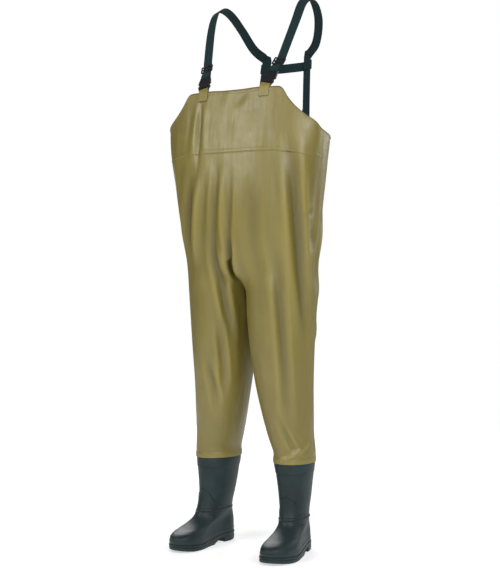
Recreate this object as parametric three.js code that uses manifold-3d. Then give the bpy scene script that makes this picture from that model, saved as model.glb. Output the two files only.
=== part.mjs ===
// A chest wader: welded trousers with a bib, two moulded rubber boots, and braces with buckles.
// Millimetres, +Z up. The wearer faces -Y, and the wearer's left is +X.

import * as THREE from "three";
import { mergeVertices } from "three/addons/utils/BufferGeometryUtils.js";
import Module from "manifold-3d";

const wasm = await Module();
wasm.setup();

// Driving dimensions

const clearance = 0.3; // between pieces that touch

// Trousers
const bibHeight = 1377; // floor to the front top edge
const seamBase = 1160; // floor to the level where the bib rows start
const forkHeight = 880; // floor to where the legs part, at front and back
const forkDip = 80; // how far the crotch lies under the fork
const hemHeight = 268; // floor to the bottom of the leg
const chestWidth = 512;
const chestDepth = 330;
const hipWidth = 416;
const fabric = 1; // wall of the coated fabric
const welt = 0.9; // step of a welded seam or hem
const hemBand = 15; // height of the leg's hem
const rimBand = 11; // height of the hem along the top edge
const seamBand = 12; // height of the welded chest seam

// Boots
const footLength = 285; // outsole
const ballWidth = 106; // outsole
const heelBehind = 72; // shaft axis to the back of the outsole
const bootHeight = 295; // floor to the top of the shaft, inside the leg
const bootWall = 2.6;
const ledge = 3.6; // how far the outsole stands out from the upper
const rand = 1.3; // step of the band around the foot
const cuff = 1.1; // step of the band around the top of the shaft
const cuffHeight = 238; // floor to the bottom of that band
const shaftSpread = 140; // middle of the wader to each boot's axis
const toeOut = 7.5; // degrees
const seatHeight = 28; // floor to the top of the outsole at the heel
const ballHeight = 17; // floor to the top of the outsole at the ball
const toeHeight = 24; // floor to the top of the outsole at the toe
const toeSpring = 9;
const archHeight = 15; // floor to the underside of the waist
const grooveDepth = 5; // of the tread
const grooveWidth = 5;
const insoleThickness = 3;

// Braces
const webbingWidth = 30;
const webbing = 1.7;
const frontTabPlace = 105; // middle of the wader to each front tab
const backTabPlace = 89; // middle of the wader to each back tab
const tabWidth = 32;
const tabThickness = 1.3;
const tabDrop = 30; // top edge to the tab's lower end, outside
const tabTail = 20; // top edge to the tab's lower end, inside
const hookRise = 9; // top edge to the middle of the bar a tab holds
const buckleWidth = 41;
const buckleThickness = 8;
const socketLength = 34;
const plugLength = 19;
const sliderLength = 27;
const sliderThickness = 3.2;
const slotHeight = 6;
const barSize = 3; // of the square bars that tabs and webbing go round
const sliderGap = 22; // plug to slider
const ringHeight = 15;
const strapOverlap = 85; // webbing doubled above the back ring

// Columns around each form
const torsoColumns = 40;
const legColumns = 28;
const cornerColumn = 4; // the column that runs to the bib's corner
const cornerTurn = 33; // degrees from the middle of the front

// Sections of the body, from the fork (0) to the front top edge (1). Width is a share of half the chest
// width. Front, side and back are shares of the chest depth, forward being negative.
const torsoTable = [
  { rise: 0.0, width: 0.8125, front: -0.49, side: -0.075, back: 0.42 },
  { rise: 0.16, width: 0.845, front: -0.54, side: -0.085, back: 0.43 },
  { rise: 0.36, width: 0.9, front: -0.555, side: -0.11, back: 0.44 },
  { rise: 0.56, width: 0.965, front: -0.53, side: -0.15, back: 0.465 },
  { rise: 0.72, width: 1.0, front: -0.495, side: -0.17, back: 0.515 },
  { rise: 0.85, width: 1.005, front: -0.455, side: -0.18, back: 0.545 },
  { rise: 1.0, width: 1.005, front: -0.405, side: -0.18, back: 0.56 },
];

// Sections of a leg, from the hem (0) to the fork (1). Each column is a share of the way from the hem's
// size to the fork's.
const legTable = [
  { rise: 0.048, centre: 0, width: 0, depth: 0 },
  { rise: 0.134, centre: 0.33, width: 0.15, depth: 0.05 },
  { rise: 0.248, centre: 0.62, width: 0.34, depth: 0.17 },
  { rise: 0.387, centre: 0.89, width: 0.52, depth: 0.32 },
  { rise: 0.559, centre: 1.08, width: 0.69, depth: 0.55 },
  { rise: 0.706, centre: 1.15, width: 0.83, depth: 0.66 },
  { rise: 0.82, centre: 1.1, width: 0.9, depth: 0.74 },
];

// The line of a brace, from the slider to the cross strap: its distance from the middle as a share of half
// the chest width, how far back it is as a share of the chest depth, and its height as a share of the bib's.
const braceTable = [
  { across: 0.531, back: -0.158, up: 1.089 },
  { across: 0.578, back: -0.055, up: 1.151 },
  { across: 0.598, back: 0.052, up: 1.195 },
  { across: 0.602, back: 0.188, up: 1.211 },
  { across: 0.586, back: 0.327, up: 1.204 },
  { across: 0.539, back: 0.47, up: 1.175 },
  { across: 0.438, back: 0.57, up: 1.133 },
  { across: 0.293, back: 0.606, up: 1.086 },
];

// Height of the top edge around the body, as a share of the way from the seam's base to the front top edge.
const rimTable = [
  { turn: 0, rise: 0.985 },
  { turn: 14, rise: 1 },
  { turn: 24, rise: 0.995 },
  { turn: 33, rise: 0.975 },
  { turn: 40, rise: 0.83 },
  { turn: 48, rise: 0.71 },
  { turn: 60, rise: 0.6 },
  { turn: 75, rise: 0.51 },
  { turn: 90, rise: 0.42 },
  { turn: 105, rise: 0.375 },
  { turn: 120, rise: 0.365 },
  { turn: 138, rise: 0.4 },
  { turn: 150, rise: 0.43 },
  { turn: 160, rise: 0.41 },
  { turn: 170, rise: 0.27 },
  { turn: 180, rise: 0.14 },
];

// Half widths of the outsole at equal turns from the toe (0) to the heel (180), as shares of the ball width.
const outlineTable = [
  { turn: 0, lateral: -0.09, medial: 0.09 },
  { turn: 22.5, lateral: 0.17, medial: 0.33 },
  { turn: 45, lateral: 0.395, medial: 0.465 },
  { turn: 67.5, lateral: 0.505, medial: 0.475 },
  { turn: 90, lateral: 0.46, medial: 0.37 },
  { turn: 112.5, lateral: 0.39, medial: 0.325 },
  { turn: 135, lateral: 0.355, medial: 0.345 },
  { turn: 157.5, lateral: 0.215, medial: 0.215 },
  { turn: 180, lateral: 0, medial: 0 },
];

// Rings of the upper. Front and back reach from the shaft's axis are shares of the foot length, heights
// are shares of the boot height, width is a share of the ball width, and foot says how far the ring keeps
// the foot's outline (1) or is an oval (0). Lean moves the ring towards the other leg.
const upperTable = [
  { front: 0.735, frontRise: 0.083, back: 0.24, backRise: 0.096, width: 0.465, foot: 1, lean: 0 },
  { front: 0.742, frontRise: 0.122, back: 0.247, backRise: 0.145, width: 0.467, foot: 1, lean: 0 },
  { front: 0.734, frontRise: 0.148, back: 0.249, backRise: 0.185, width: 0.458, foot: 1, lean: 0 },
  { front: 0.7, frontRise: 0.172, back: 0.248, backRise: 0.225, width: 0.44, foot: 0.95, lean: 0 },
  { front: 0.63, frontRise: 0.192, back: 0.245, backRise: 0.262, width: 0.415, foot: 0.8, lean: 0 },
  { front: 0.535, frontRise: 0.211, back: 0.24, backRise: 0.297, width: 0.395, foot: 0.5, lean: 0 },
  { front: 0.445, frontRise: 0.236, back: 0.234, backRise: 0.332, width: 0.38, foot: 0.2, lean: 0 },
  { front: 0.365, frontRise: 0.275, back: 0.229, backRise: 0.37, width: 0.37, foot: 0, lean: 0.005 },
  { front: 0.304, frontRise: 0.338, back: 0.228, backRise: 0.41, width: 0.37, foot: 0, lean: 0.01 },
  { front: 0.264, frontRise: 0.43, back: 0.234, backRise: 0.465, width: 0.385, foot: 0, lean: 0.02 },
  { front: 0.246, frontRise: 0.54, back: 0.25, backRise: 0.54, width: 0.42, foot: 0, lean: 0.03 },
  { front: 0.25, frontRise: 0.66, back: 0.277, backRise: 0.66, width: 0.455, foot: 0, lean: 0.04 },
  { front: 0.262, frontRise: 0.8, back: 0.297, backRise: 0.8, width: 0.505, foot: 0, lean: 0.05 },
  { front: 0.267, frontRise: 0.895, back: 0.305, backRise: 0.895, width: 0.545, foot: 0, lean: 0.06 },
  { front: 0.267, frontRise: 1, back: 0.305, backRise: 1, width: 0.547, foot: 0, lean: 0.06 },
];

// Small tools

const radians = THREE.MathUtils.degToRad;
const lerp = THREE.MathUtils.lerp;
const clamp = THREE.MathUtils.clamp;
const smooth = (t) => THREE.MathUtils.smoothstep(t, 0, 1);
const point = (x, y, z) => new THREE.Vector3(x, y, z);

// The row of a table at a value of its first column, on a smooth curve through the rows.
function rowAt(table, key, value) {
  const last = table.length - 1;
  let i = 0;
  while (i < last - 1 && value > table[i + 1][key]) i += 1;
  const [a, b] = [table[i], table[i + 1]];
  const before = table[Math.max(i - 1, 0)];
  const after = table[Math.min(i + 2, last)];
  const span = b[key] - a[key];
  const t = clamp((value - a[key]) / span, 0, 1);
  const row = {};
  for (const name of Object.keys(a)) {
    const slopeA = before === a ? b[name] - a[name] : ((b[name] - before[name]) * span) / (b[key] - before[key]);
    const slopeB = after === b ? b[name] - a[name] : ((after[name] - a[name]) * span) / (after[key] - a[key]);
    row[name] =
      a[name] * (2 * t ** 3 - 3 * t ** 2 + 1) +
      slopeA * (t ** 3 - 2 * t ** 2 + t) +
      b[name] * (3 * t ** 2 - 2 * t ** 3) +
      slopeB * (t ** 3 - t ** 2);
  }
  return row;
}

const power = (value, exponent) => Math.sign(value) * Math.abs(value) ** exponent;

// A geometry from points and triangles or quads.
function meshOf(points, faces) {
  const index = [];
  for (const f of faces) {
    index.push(f[0], f[1], f[2]);
    if (f.length === 4) index.push(f[0], f[2], f[3]);
  }
  const geometry = new THREE.BufferGeometry();
  geometry.setAttribute("position", new THREE.Float32BufferAttribute(points.flatMap((p) => p.toArray()), 3));
  geometry.setIndex(index);
  return geometry;
}

// The unit normal at each point of an open surface.
function normalsOf(points, faces) {
  const normals = points.map(() => point(0, 0, 0));
  for (const f of faces) {
    const [a, b, c, d] = f.map((i) => points[i]);
    const across = f.length === 4 ? d.clone().sub(b) : c.clone().sub(b);
    const along = f.length === 4 ? c.clone().sub(a) : a.clone().sub(b);
    const normal = f.length === 4 ? along.cross(across) : across.cross(along);
    for (const i of f) normals[i].add(normal);
  }
  return normals.map((n) => n.normalize());
}

// A hollow solid: an open surface, given its wall inwards, with its edges closed.
function hollow(points, faces, wall) {
  const normals = normalsOf(points, faces);
  const inner = points.map((p, i) => p.clone().addScaledVector(normals[i], -wall));
  const n = points.length;
  const all = [...faces, ...faces.map((f) => [...f].reverse().map((i) => i + n))];
  const used = new Set();
  for (const f of faces) f.forEach((a, i) => used.add(`${a} ${f[(i + 1) % f.length]}`));
  for (const edge of used) {
    const [a, b] = edge.split(" ").map(Number);
    if (!used.has(`${b} ${a}`)) all.push([b, a, a + n, b + n]);
  }
  return meshOf([...points, ...inner], all);
}

// Quads between rings of equal length, from the lowest ring up, each ring turning anticlockwise from above.
function bands(rings) {
  const faces = [];
  for (let r = 0; r + 1 < rings.length; r += 1) {
    const n = rings[r].length;
    for (let c = 0; c < n; c += 1) {
      const d = (c + 1) % n;
      faces.push([rings[r][c], rings[r][d], rings[r + 1][d], rings[r + 1][c]]);
    }
  }
  return faces;
}

// Faces that close a ring whose columns c and n - c lie across from each other.
function lid(ring, up) {
  const n = ring.length;
  const faces = [];
  for (let c = 0; c < n / 2; c += 1) {
    const quad = [ring[c], ring[c + 1], ring[(n - c - 1) % n], ring[(n - c) % n]];
    const corners = quad.filter((v, i) => quad.indexOf(v) === i);
    faces.push(up ? corners : corners.reverse());
  }
  return faces;
}

// A flat strip along points, each with the direction of its width.
function ribbon(path, width, thickness) {
  const points = [];
  path.forEach((at, i) => {
    const next = path[Math.min(i + 1, path.length - 1)].place;
    const last = path[Math.max(i - 1, 0)].place;
    const along = next.clone().sub(last).normalize();
    const across = at.across.clone().addScaledVector(along, -at.across.dot(along)).normalize();
    const out = along.clone().cross(across).normalize();
    for (const [side, face] of [[-1, -1], [1, -1], [1, 1], [-1, 1]])
      points.push(
        at.place
          .clone()
          .addScaledVector(across, (side * width) / 2)
          .addScaledVector(out, (face * thickness) / 2),
      );
  });
  const rings = path.map((_, i) => [0, 1, 2, 3].map((c) => 4 * i + c));
  const end = rings[rings.length - 1];
  return meshOf(points, [...bands(rings), [...rings[0]].reverse(), end]);
}

function solidOf(geometry) {
  const bare = geometry.index ? geometry.toNonIndexed() : geometry.clone();
  for (const name of ["normal", "uv"]) bare.deleteAttribute(name);
  const merged = mergeVertices(bare, 1e-4);
  return new wasm.Manifold(
    new wasm.Mesh({
      numProp: 3,
      vertProperties: merged.attributes.position.array,
      triVerts: new Uint32Array(merged.index.array),
    }),
  );
}

function geometryOf(solid) {
  const made = solid.getMesh();
  const geometry = new THREE.BufferGeometry();
  geometry.setAttribute("position", new THREE.BufferAttribute(made.vertProperties, 3));
  geometry.setIndex(new THREE.BufferAttribute(made.triVerts, 1));
  return geometry;
}

// The other side's copy of a left piece.
function mirrored(geometry) {
  const copy = geometry.index ? geometry.toNonIndexed() : geometry.clone();
  const place = copy.getAttribute("position");
  for (let i = 0; i < place.count; i += 1) place.setX(i, -place.getX(i));
  for (let i = 0; i < place.count; i += 3) {
    const [b, c] = [i + 1, i + 2].map((k) => point(0, 0, 0).fromBufferAttribute(place, k));
    place.setXYZ(i + 1, c.x, c.y, c.z);
    place.setXYZ(i + 2, b.x, b.y, b.z);
  }
  return copy;
}

// Trousers

const torsoSquare = { front: 2.5, back: 2.1 }; // roundness of each half section, 2 being an ellipse

// A point of the body's outer face. Turn runs from the middle of the front, towards the left side.
function torsoPoint(turn, z) {
  const row = rowAt(torsoTable, "rise", (z - forkHeight) / (bibHeight - forkHeight));
  const [s, c] = [Math.sin(radians(turn)), Math.cos(radians(turn))];
  const forward = c > 0;
  const exponent = 2 / (forward ? torsoSquare.front : torsoSquare.back);
  const depth = forward ? row.side - row.front : row.back - row.side;
  return point(
    power(s, exponent) * row.width * (chestWidth / 2),
    (row.side - power(c, exponent) * depth) * chestDepth,
    z,
  );
}

function torsoNormal(turn, z) {
  const across = torsoPoint(turn + 1, z).sub(torsoPoint(turn - 1, z));
  const up = torsoPoint(turn, z + 2).sub(torsoPoint(turn, z - 2));
  return across.cross(up).normalize();
}

// The turn of a column, with one column on the bib's corner.
function columnTurn(column) {
  const side = torsoColumns / 4;
  const half = torsoColumns / 2;
  if (column > half) return 360 - columnTurn(torsoColumns - column);
  if (column > side) return 90 + ((column - side) * 90) / side;
  if (column > cornerColumn) return lerp(cornerTurn, 90, (column - cornerColumn) / (side - cornerColumn));
  return (column / cornerColumn) * cornerTurn;
}

// Height of the top edge at a turn.
function rimHeight(turn) {
  const folded = turn > 180 ? 360 - turn : turn;
  const i = rimTable.findLastIndex((row) => row.turn <= folded);
  const [a, b] = [rimTable[i], rimTable[Math.min(i + 1, rimTable.length - 1)]];
  const t = a === b ? 0 : (folded - a.turn) / (b.turn - a.turn);
  return lerp(seamBase, bibHeight, lerp(a.rise, b.rise, t));
}

// The turn at which the body's face lies at a distance from its middle.
function turnAt(x, z, front) {
  let [low, high] = front ? [0, 90] : [180, 90];
  for (let i = 0; i < 40; i += 1) {
    const middle = (low + high) / 2;
    if (torsoPoint(middle, z).x < x) low = middle;
    else high = middle;
  }
  return low;
}

// Shares of the bib's height at which it has a row, and whether the row is raised by the welt.
const seamLow = 0.12;
const seamHigh = seamLow + seamBand / (bibHeight - seamBase);
const rimLow = 1 - rimBand / (bibHeight - seamBase);
const step = 0.004;
const bibRows = [
  { rise: seamLow, raised: "none" },
  { rise: seamLow + step, raised: "front" },
  { rise: seamHigh, raised: "front" },
  { rise: seamHigh + step, raised: "none" },
  { rise: 0.45, raised: "none" },
  { rise: 0.72, raised: "none" },
  { rise: rimLow - step, raised: "none" },
  { rise: rimLow, raised: "all" },
  { rise: 1, raised: "all" },
];
const bodyRises = [0, 0.2, 0.38];

function torsoRings(points) {
  const rings = [];
  const add = (place) => points.push(place) - 1;
  const turns = Array.from({ length: torsoColumns }, (_, c) => columnTurn(c));
  for (const rise of [...bodyRises, (seamBase - forkHeight) / (bibHeight - forkHeight)])
    rings.push(turns.map((turn) => add(torsoPoint(turn, lerp(forkHeight, bibHeight, rise)))));
  for (const row of bibRows) {
    rings.push(
      turns.map((turn) => {
        const z = lerp(seamBase, rimHeight(turn), row.rise);
        const inFront = turn < 88 || turn > 272;
        const raised = row.raised === "all" || (row.raised === "front" && inFront);
        return add(torsoPoint(turn, z).addScaledVector(torsoNormal(turn, z), raised ? welt : 0));
      }),
    );
  }
  return rings;
}

// Boots, each in its own frame: the shaft's axis at the origin, the toe towards -Y, the outside of the foot
// towards +X

// The outsole's outline at a turn from the toe, drawn in by an inset.
function outline(turn, inset) {
  const folded = turn > 180 ? 360 - turn : turn;
  const row = rowAt(outlineTable, "turn", folded);
  const side = turn > 180 ? -row.medial : row.lateral;
  const shrink = 1 - inset / (ballWidth / 2);
  const middle = heelBehind - footLength / 2;
  const half = footLength / 2 - inset;
  return { x: side * ballWidth * shrink, y: middle - half * Math.cos(radians(turn)) };
}

// Where a place lies along the outsole, from the heel (0) to the toe (1).
const along = (y) => clamp((heelBehind - y) / footLength, 0, 1);

// Height of the outsole's top.
function seatAt(y) {
  const t = along(y);
  const table = [
    { t: 0, z: seatHeight },
    { t: 0.25, z: seatHeight - 1 },
    { t: 0.48, z: lerp(seatHeight, ballHeight, 0.6) },
    { t: 0.7, z: ballHeight },
    { t: 1, z: toeHeight },
  ];
  return rowAt(table, "t", t).z;
}

// Height of the outsole's tread, without the arch.
const springStart = 0.74;
const treadAt = (y) => toeSpring * clamp((along(y) - springStart) / (1 - springStart), 0, 1) ** 1.6;

// The arch in side view, from the heel's breast to the forefoot, as shares of the outsole's length and of
// the arch's height.
const archTable = [
  { t: 0.248, z: -0.2 },
  { t: 0.252, z: 0.75 },
  { t: 0.275, z: 1 },
  { t: 0.345, z: 0.9 },
  { t: 0.42, z: 0.3 },
  { t: 0.46, z: -0.2 },
];

// A point of the upper's outer face, or of one grown by an offset.
function upperPoint(row, turn, offset) {
  const t = radians(turn);
  const front = row.front * footLength + offset;
  const back = row.back * footLength + offset;
  const y = (back * (1 - Math.cos(t)) - front * (1 + Math.cos(t))) / 2;
  const foot = outline(turn, ledge).x;
  const footScale = row.width / upperTable[0].width;
  const oval = row.width * ballWidth * Math.sin(t);
  const x = lerp(oval, foot * footScale, row.foot) + Math.sin(t) * offset - row.lean * ballWidth;
  const share = (1 + Math.cos(t)) / 2;
  const level = lerp(row.backRise, row.frontRise, share) * bootHeight;
  const base = lerp(upperTable[0].backRise, upperTable[0].frontRise, share) * bootHeight;
  const follow = clamp(1.35 - row.backRise * 4, 0, 1);
  return point(x, y, level + follow * (seatAt(y) + clearance - base));
}

function bootPlace(place) {
  return place.applyAxisAngle(point(0, 0, 1), radians(toeOut)).add(point(shaftSpread, 0, 0));
}

const shaftRow = upperTable.findIndex((row) => row.frontRise === row.backRise);

// A point of the shaft, at a height above the ankle, grown by an offset.
function shaftPoint(turn, z, offset) {
  const row = rowAt(upperTable.slice(shaftRow), "frontRise", Math.min(z / bootHeight, 1));
  const place = upperPoint(row, turn, offset);
  place.z = z;
  return bootPlace(place);
}

// Legs

// The ring where a leg leaves the body: half of the body's lowest ring, and the crotch.
function forkRing(points, torsoRing) {
  const half = torsoColumns / 2;
  const crotch = legColumns - half;
  const [front, back] = [points[torsoRing[0]], points[torsoRing[half]]];
  const inner = Array.from({ length: crotch - 1 }, (_, i) => {
    const t = (i + 1) / crotch;
    const z = forkHeight - forkDip * Math.sin(Math.PI * t) ** 0.8;
    return points.push(point(0, lerp(back.y, front.y, t), z)) - 1;
  });
  return { outer: torsoRing.slice(0, half + 1), inner };
}

const legTurn = (column) => (column - Math.round(legColumns / 8)) * (360 / legColumns); // from the leg's front

// A point of the left leg's outer face, under the fork.
function legPoint(rise, column) {
  const turn = legTurn(column);
  const z = lerp(hemHeight, forkHeight, rise);
  const hem = cuff + fabric + clearance;
  if (rise <= legTable[0].rise) return shaftPoint(turn, z, hem);
  const row = rowAt(legTable, "rise", Math.min(rise, legTable.at(-1).rise));
  const lower = shaftPoint(turn, bootHeight, hem);
  const middle = shaftPoint(90, bootHeight, 0).add(shaftPoint(270, bootHeight, 0)).multiplyScalar(0.5);
  const [s, c] = [Math.sin(radians(turn)), Math.cos(radians(turn))];
  const forkY = ((torsoTable[0].front + torsoTable[0].back) / 2) * chestDepth;
  const forkDepth = ((torsoTable[0].back - torsoTable[0].front) / 2) * chestDepth;
  return point(
    lerp(middle.x, hipWidth / 4, row.centre) + lerp(lower.x - middle.x, (s * hipWidth) / 4, row.width),
    lerp(middle.y, forkY, row.centre) + lerp(lower.y - middle.y, -c * forkDepth, row.depth),
    z,
  );
}

const hemRise = hemBand / (forkHeight - hemHeight);
const legRows = [
  { rise: 0, raised: true },
  { rise: hemRise, raised: true },
  { rise: hemRise + step / 2, raised: false },
  { rise: legTable[0].rise, raised: false },
  { rise: 0.14, raised: false },
  { rise: 0.25, raised: false },
  { rise: 0.39, raised: false },
  { rise: 0.55, raised: false },
  { rise: 0.7, raised: false },
  { rise: legTable.at(-1).rise, raised: false },
];
const forkSteps = [0.45]; // rows between the last leg section and the fork

function legRings(points, fork, side) {
  const columns = Array.from({ length: legColumns }, (_, c) => c);
  const mirror = (place) => point(place.x * side, place.y, place.z);
  const add = (place) => points.push(mirror(place)) - 1;
  const out = (row, c) => {
    const place = legPoint(row.rise, c);
    const turn = radians(legTurn(c) + toeOut);
    return row.raised ? place.add(point(Math.sin(turn) * welt, -Math.cos(turn) * welt, 0)) : place;
  };
  const rings = legRows.map((row) => columns.map((c) => add(out(row, c))));
  const top = [...fork.outer, ...fork.inner];
  for (const t of forkSteps)
    rings.push(
      columns.map((c) => {
        const low = legPoint(legTable.at(-1).rise, c);
        const high = mirror(points[top[c]]);
        return add(point(lerp(low.x, high.x, t ** 1.5), lerp(low.y, high.y, t ** 1.2), lerp(low.z, high.z, t)));
      }),
    );
  rings.push(top);
  return rings;
}

function trousers() {
  const points = [];
  const torso = torsoRings(points);
  const left = forkRing(points, torso[0]);
  const half = torsoColumns / 2;
  const rightOuter = Array.from({ length: half + 1 }, (_, i) => torso[0][(torsoColumns - i) % torsoColumns]);
  const right = { outer: rightOuter, inner: left.inner };
  const faces = bands(torso);
  faces.push(...bands(legRings(points, left, 1)));
  faces.push(...bands(legRings(points, right, -1)).map((f) => f.reverse()));
  return hollow(points, faces, fabric);
}

// Boot pieces

const bootTurns = Array.from({ length: legColumns }, (_, c) => (c * 360) / legColumns);

// The upper's rings from the sole up, each with the step of its band.
function upperRings() {
  const shaft = upperTable.slice(shaftRow);
  const cuffRise = cuffHeight / bootHeight;
  const bandTop = rowAt(upperTable, "backRise", upperTable[1].backRise - 0.008);
  const low = upperTable.slice(1).filter((row) => row.frontRise < cuffRise);
  const high = upperTable.filter((row) => row.frontRise > cuffRise);
  return [
    { row: upperTable[0], band: rand },
    { row: bandTop, band: rand },
    ...low.map((row) => ({ row, band: 0 })),
    { row: rowAt(shaft, "frontRise", cuffRise), band: 0 },
    { row: rowAt(shaft, "frontRise", cuffRise + 0.004), band: cuff },
    ...high.map((row) => ({ row, band: cuff })),
  ];
}

function upper() {
  const points = [];
  const rings = upperRings().map(({ row, band }) =>
    bootTurns.map((turn) => points.push(upperPoint(row, turn, band)) - 1),
  );
  return hollow(points, bands(rings), bootWall);
}

// The outsole's side: insets and heights, from the tread (0) to the seat (1).
const soleSide = [
  { inset: 2.5, rise: 0 },
  { inset: 0.6, rise: 0.18 },
  { inset: 0.6, rise: 0.55 },
  { inset: 1.9, rise: 0.62 },
  { inset: 0, rise: 0.72 },
  { inset: 0, rise: 1 },
];

function outsole() {
  const points = [];
  const rings = soleSide.map(({ inset, rise }) =>
    bootTurns.map((t) => {
      const { x, y } = outline(t, inset);
      return points.push(point(x, y, lerp(treadAt(y), seatAt(y), rise))) - 1;
    }),
  );
  const faces = [...bands(rings), ...lid(rings[0], false), ...lid(rings.at(-1), true)];
  let sole = solidOf(meshOf(points, faces)).subtract(arch());
  for (const t of grooveStations()) sole = sole.subtract(groove(t));
  return geometryOf(sole);
}

function arch() {
  const side = new THREE.Shape(
    archTable.map(({ t, z }) => new THREE.Vector2(heelBehind - t * footLength, z * archHeight)),
  );
  const made = new THREE.ExtrudeGeometry(side, { depth: 2 * ballWidth, bevelEnabled: false });
  const upright = new THREE.Matrix4().makeBasis(point(0, 1, 0), point(0, 0, 1), point(1, 0, 0));
  return solidOf(made.translate(0, 0, -ballWidth).applyMatrix4(upright));
}

// Where the tread's cross grooves lie along the outsole.
function grooveStations() {
  const stations = [];
  for (let t = 0.07; t < archTable[0].t - 0.03; t += 0.058) stations.push(t);
  for (let t = archTable.at(-1).t + 0.03; t < 0.95; t += 0.062) stations.push(t);
  return stations;
}

function groove(t) {
  const y = heelBehind - t * footLength;
  const box = new THREE.BoxGeometry(ballWidth * 1.2, grooveWidth, grooveDepth * 2);
  return solidOf(box.translate(0, y, treadAt(y)));
}

function insole() {
  const points = [];
  const edge = bootTurns.map((t) => upperPoint(upperTable[0], t, rand));
  const inside = edge.map((place, i) => {
    const next = edge[(i + 1) % legColumns];
    const last = edge[(i + legColumns - 1) % legColumns];
    const inwards = point(last.y - next.y, next.x - last.x, 0).normalize();
    return place.clone().addScaledVector(inwards, bootWall + 2 * clearance);
  });
  const rings = [clearance, clearance + insoleThickness].map((height) =>
    inside.map(({ x, y }) => points.push(point(x, y, seatAt(y) + height)) - 1),
  );
  return meshOf(points, [...bands(rings), ...lid(rings[0], false), ...lid(rings[1], true)]);
}

// Braces

// A flat plate with round corners, between two heights, its width growing from one end to the other.
function plate(low, high, lowWidth, highWidth, thickness) {
  const round = Math.min(3, (high - low) / 3);
  const [a, b] = [lowWidth / 2, highWidth / 2];
  const shape = new THREE.Shape();
  shape.moveTo(-a + round, low);
  shape.lineTo(a - round, low);
  shape.quadraticCurveTo(a, low, a, low + round);
  shape.lineTo(b, high - round);
  shape.quadraticCurveTo(b, high, b - round, high);
  shape.lineTo(-b + round, high);
  shape.quadraticCurveTo(-b, high, -b, high - round);
  shape.lineTo(-a, low + round);
  shape.quadraticCurveTo(-a, low, -a + round, low);
  const made = new THREE.ExtrudeGeometry(shape, { depth: thickness, bevelEnabled: false, curveSegments: 2 });
  return solidOf(made.translate(0, 0, -thickness / 2));
}

const slot = (low, height) =>
  solidOf(new THREE.BoxGeometry(webbingWidth + 2, height, 30).translate(0, low + height / 2, 0));

// The half of a side-release buckle that hangs on the tab: a bar, a slot, and a body open at both sides.
function socket() {
  const neck = barSize + slotHeight;
  const window = new THREE.BoxGeometry(9, socketLength * 0.26, 30);
  const press = solidOf(window.translate(buckleWidth / 2 + 1.2, socketLength * 0.62, 0));
  const loop = plate(0, neck + 4, buckleWidth - 4, buckleWidth - 1, barSize);
  const body = plate(neck, socketLength, buckleWidth - 2, buckleWidth, buckleThickness);
  const press2 = press.mirror([1, 0, 0]);
  return geometryOf(loop.add(body).subtract(slot(barSize, slotHeight)).subtract(press).subtract(press2));
}

// The half that holds the webbing: its prongs are inside the socket.
function plug() {
  const neck = plugLength - barSize - slotHeight;
  const body = plate(0, neck, buckleWidth - 1, buckleWidth - 3, buckleThickness * 0.8);
  const loop = plate(neck - 4, plugLength, buckleWidth - 3, buckleWidth - 5, barSize);
  return geometryOf(body.add(loop).subtract(slot(neck, slotHeight)));
}

function slider() {
  const bar = (sliderLength - 2 * slotHeight) / 3;
  const made = plate(0, sliderLength, buckleWidth - 1, buckleWidth - 1, sliderThickness);
  return geometryOf(made.subtract(slot(bar, slotHeight)).subtract(slot(2 * bar + slotHeight, slotHeight)));
}

function backRing() {
  const width = webbingWidth + 2 + 2 * barSize;
  const made = plate(0, ringHeight, width, width, barSize);
  return geometryOf(made.subtract(slot(barSize, ringHeight - 2 * barSize)));
}

// Places a piece on a line: Y along it, X across it, Z out from it.
const square = (across, direction) => across.clone().addScaledVector(direction, -across.dot(direction)).normalize();
const outAt = (across, direction) => square(across, direction).cross(direction).normalize();

function placed(geometry, origin, direction, across) {
  const basis = new THREE.Matrix4().makeBasis(square(across, direction), direction, outAt(across, direction));
  return geometry.applyMatrix4(basis.setPosition(origin));
}

// Half a turn round a bar, from the outside to the inside. Reach is the way it bulges.
function turnRound(bar, out, reach, thickness) {
  const corner = Math.hypot(barSize, barSize) / 2;
  const radius = (corner + clearance + thickness / 2) / Math.cos(radians(22.5));
  return [0, 45, 90, 135, 180].map((angle) =>
    bar
      .clone()
      .addScaledVector(out, Math.cos(radians(angle)) * radius)
      .addScaledVector(reach, Math.sin(radians(angle)) * radius),
  );
}

// The direction of the top edge at a turn, on the level, towards the left at the front and at the back.
function edgeDirection(turn) {
  const top = rimHeight(turn);
  const direction = torsoPoint(turn + 1, top).sub(torsoPoint(turn - 1, top)).setZ(0).normalize();
  return direction.multiplyScalar(Math.sign(direction.x));
}

const frontTurn = turnAt(frontTabPlace, bibHeight, true);
const frontEdge = torsoPoint(frontTurn, rimHeight(frontTurn));
const backTurn = turnAt(backTabPlace, lerp(seamBase, bibHeight, 0.4), false);
const backEdge = torsoPoint(backTurn, rimHeight(backTurn));
const bracePoints = braceTable.map((row) =>
  point((row.across * chestWidth) / 2, row.back * chestDepth, row.up * bibHeight),
);
const crossing = bracePoints.at(-1);
const rise = bracePoints[0].clone().sub(frontEdge).normalize();
const drop = crossing.clone().sub(backEdge).normalize();
const frontAcross = square(edgeDirection(frontTurn), rise);
const shoulderAcross = point(0.93, 0.1, -0.35);
const backAcross = square(edgeDirection(backTurn).negate(), drop);

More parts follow.
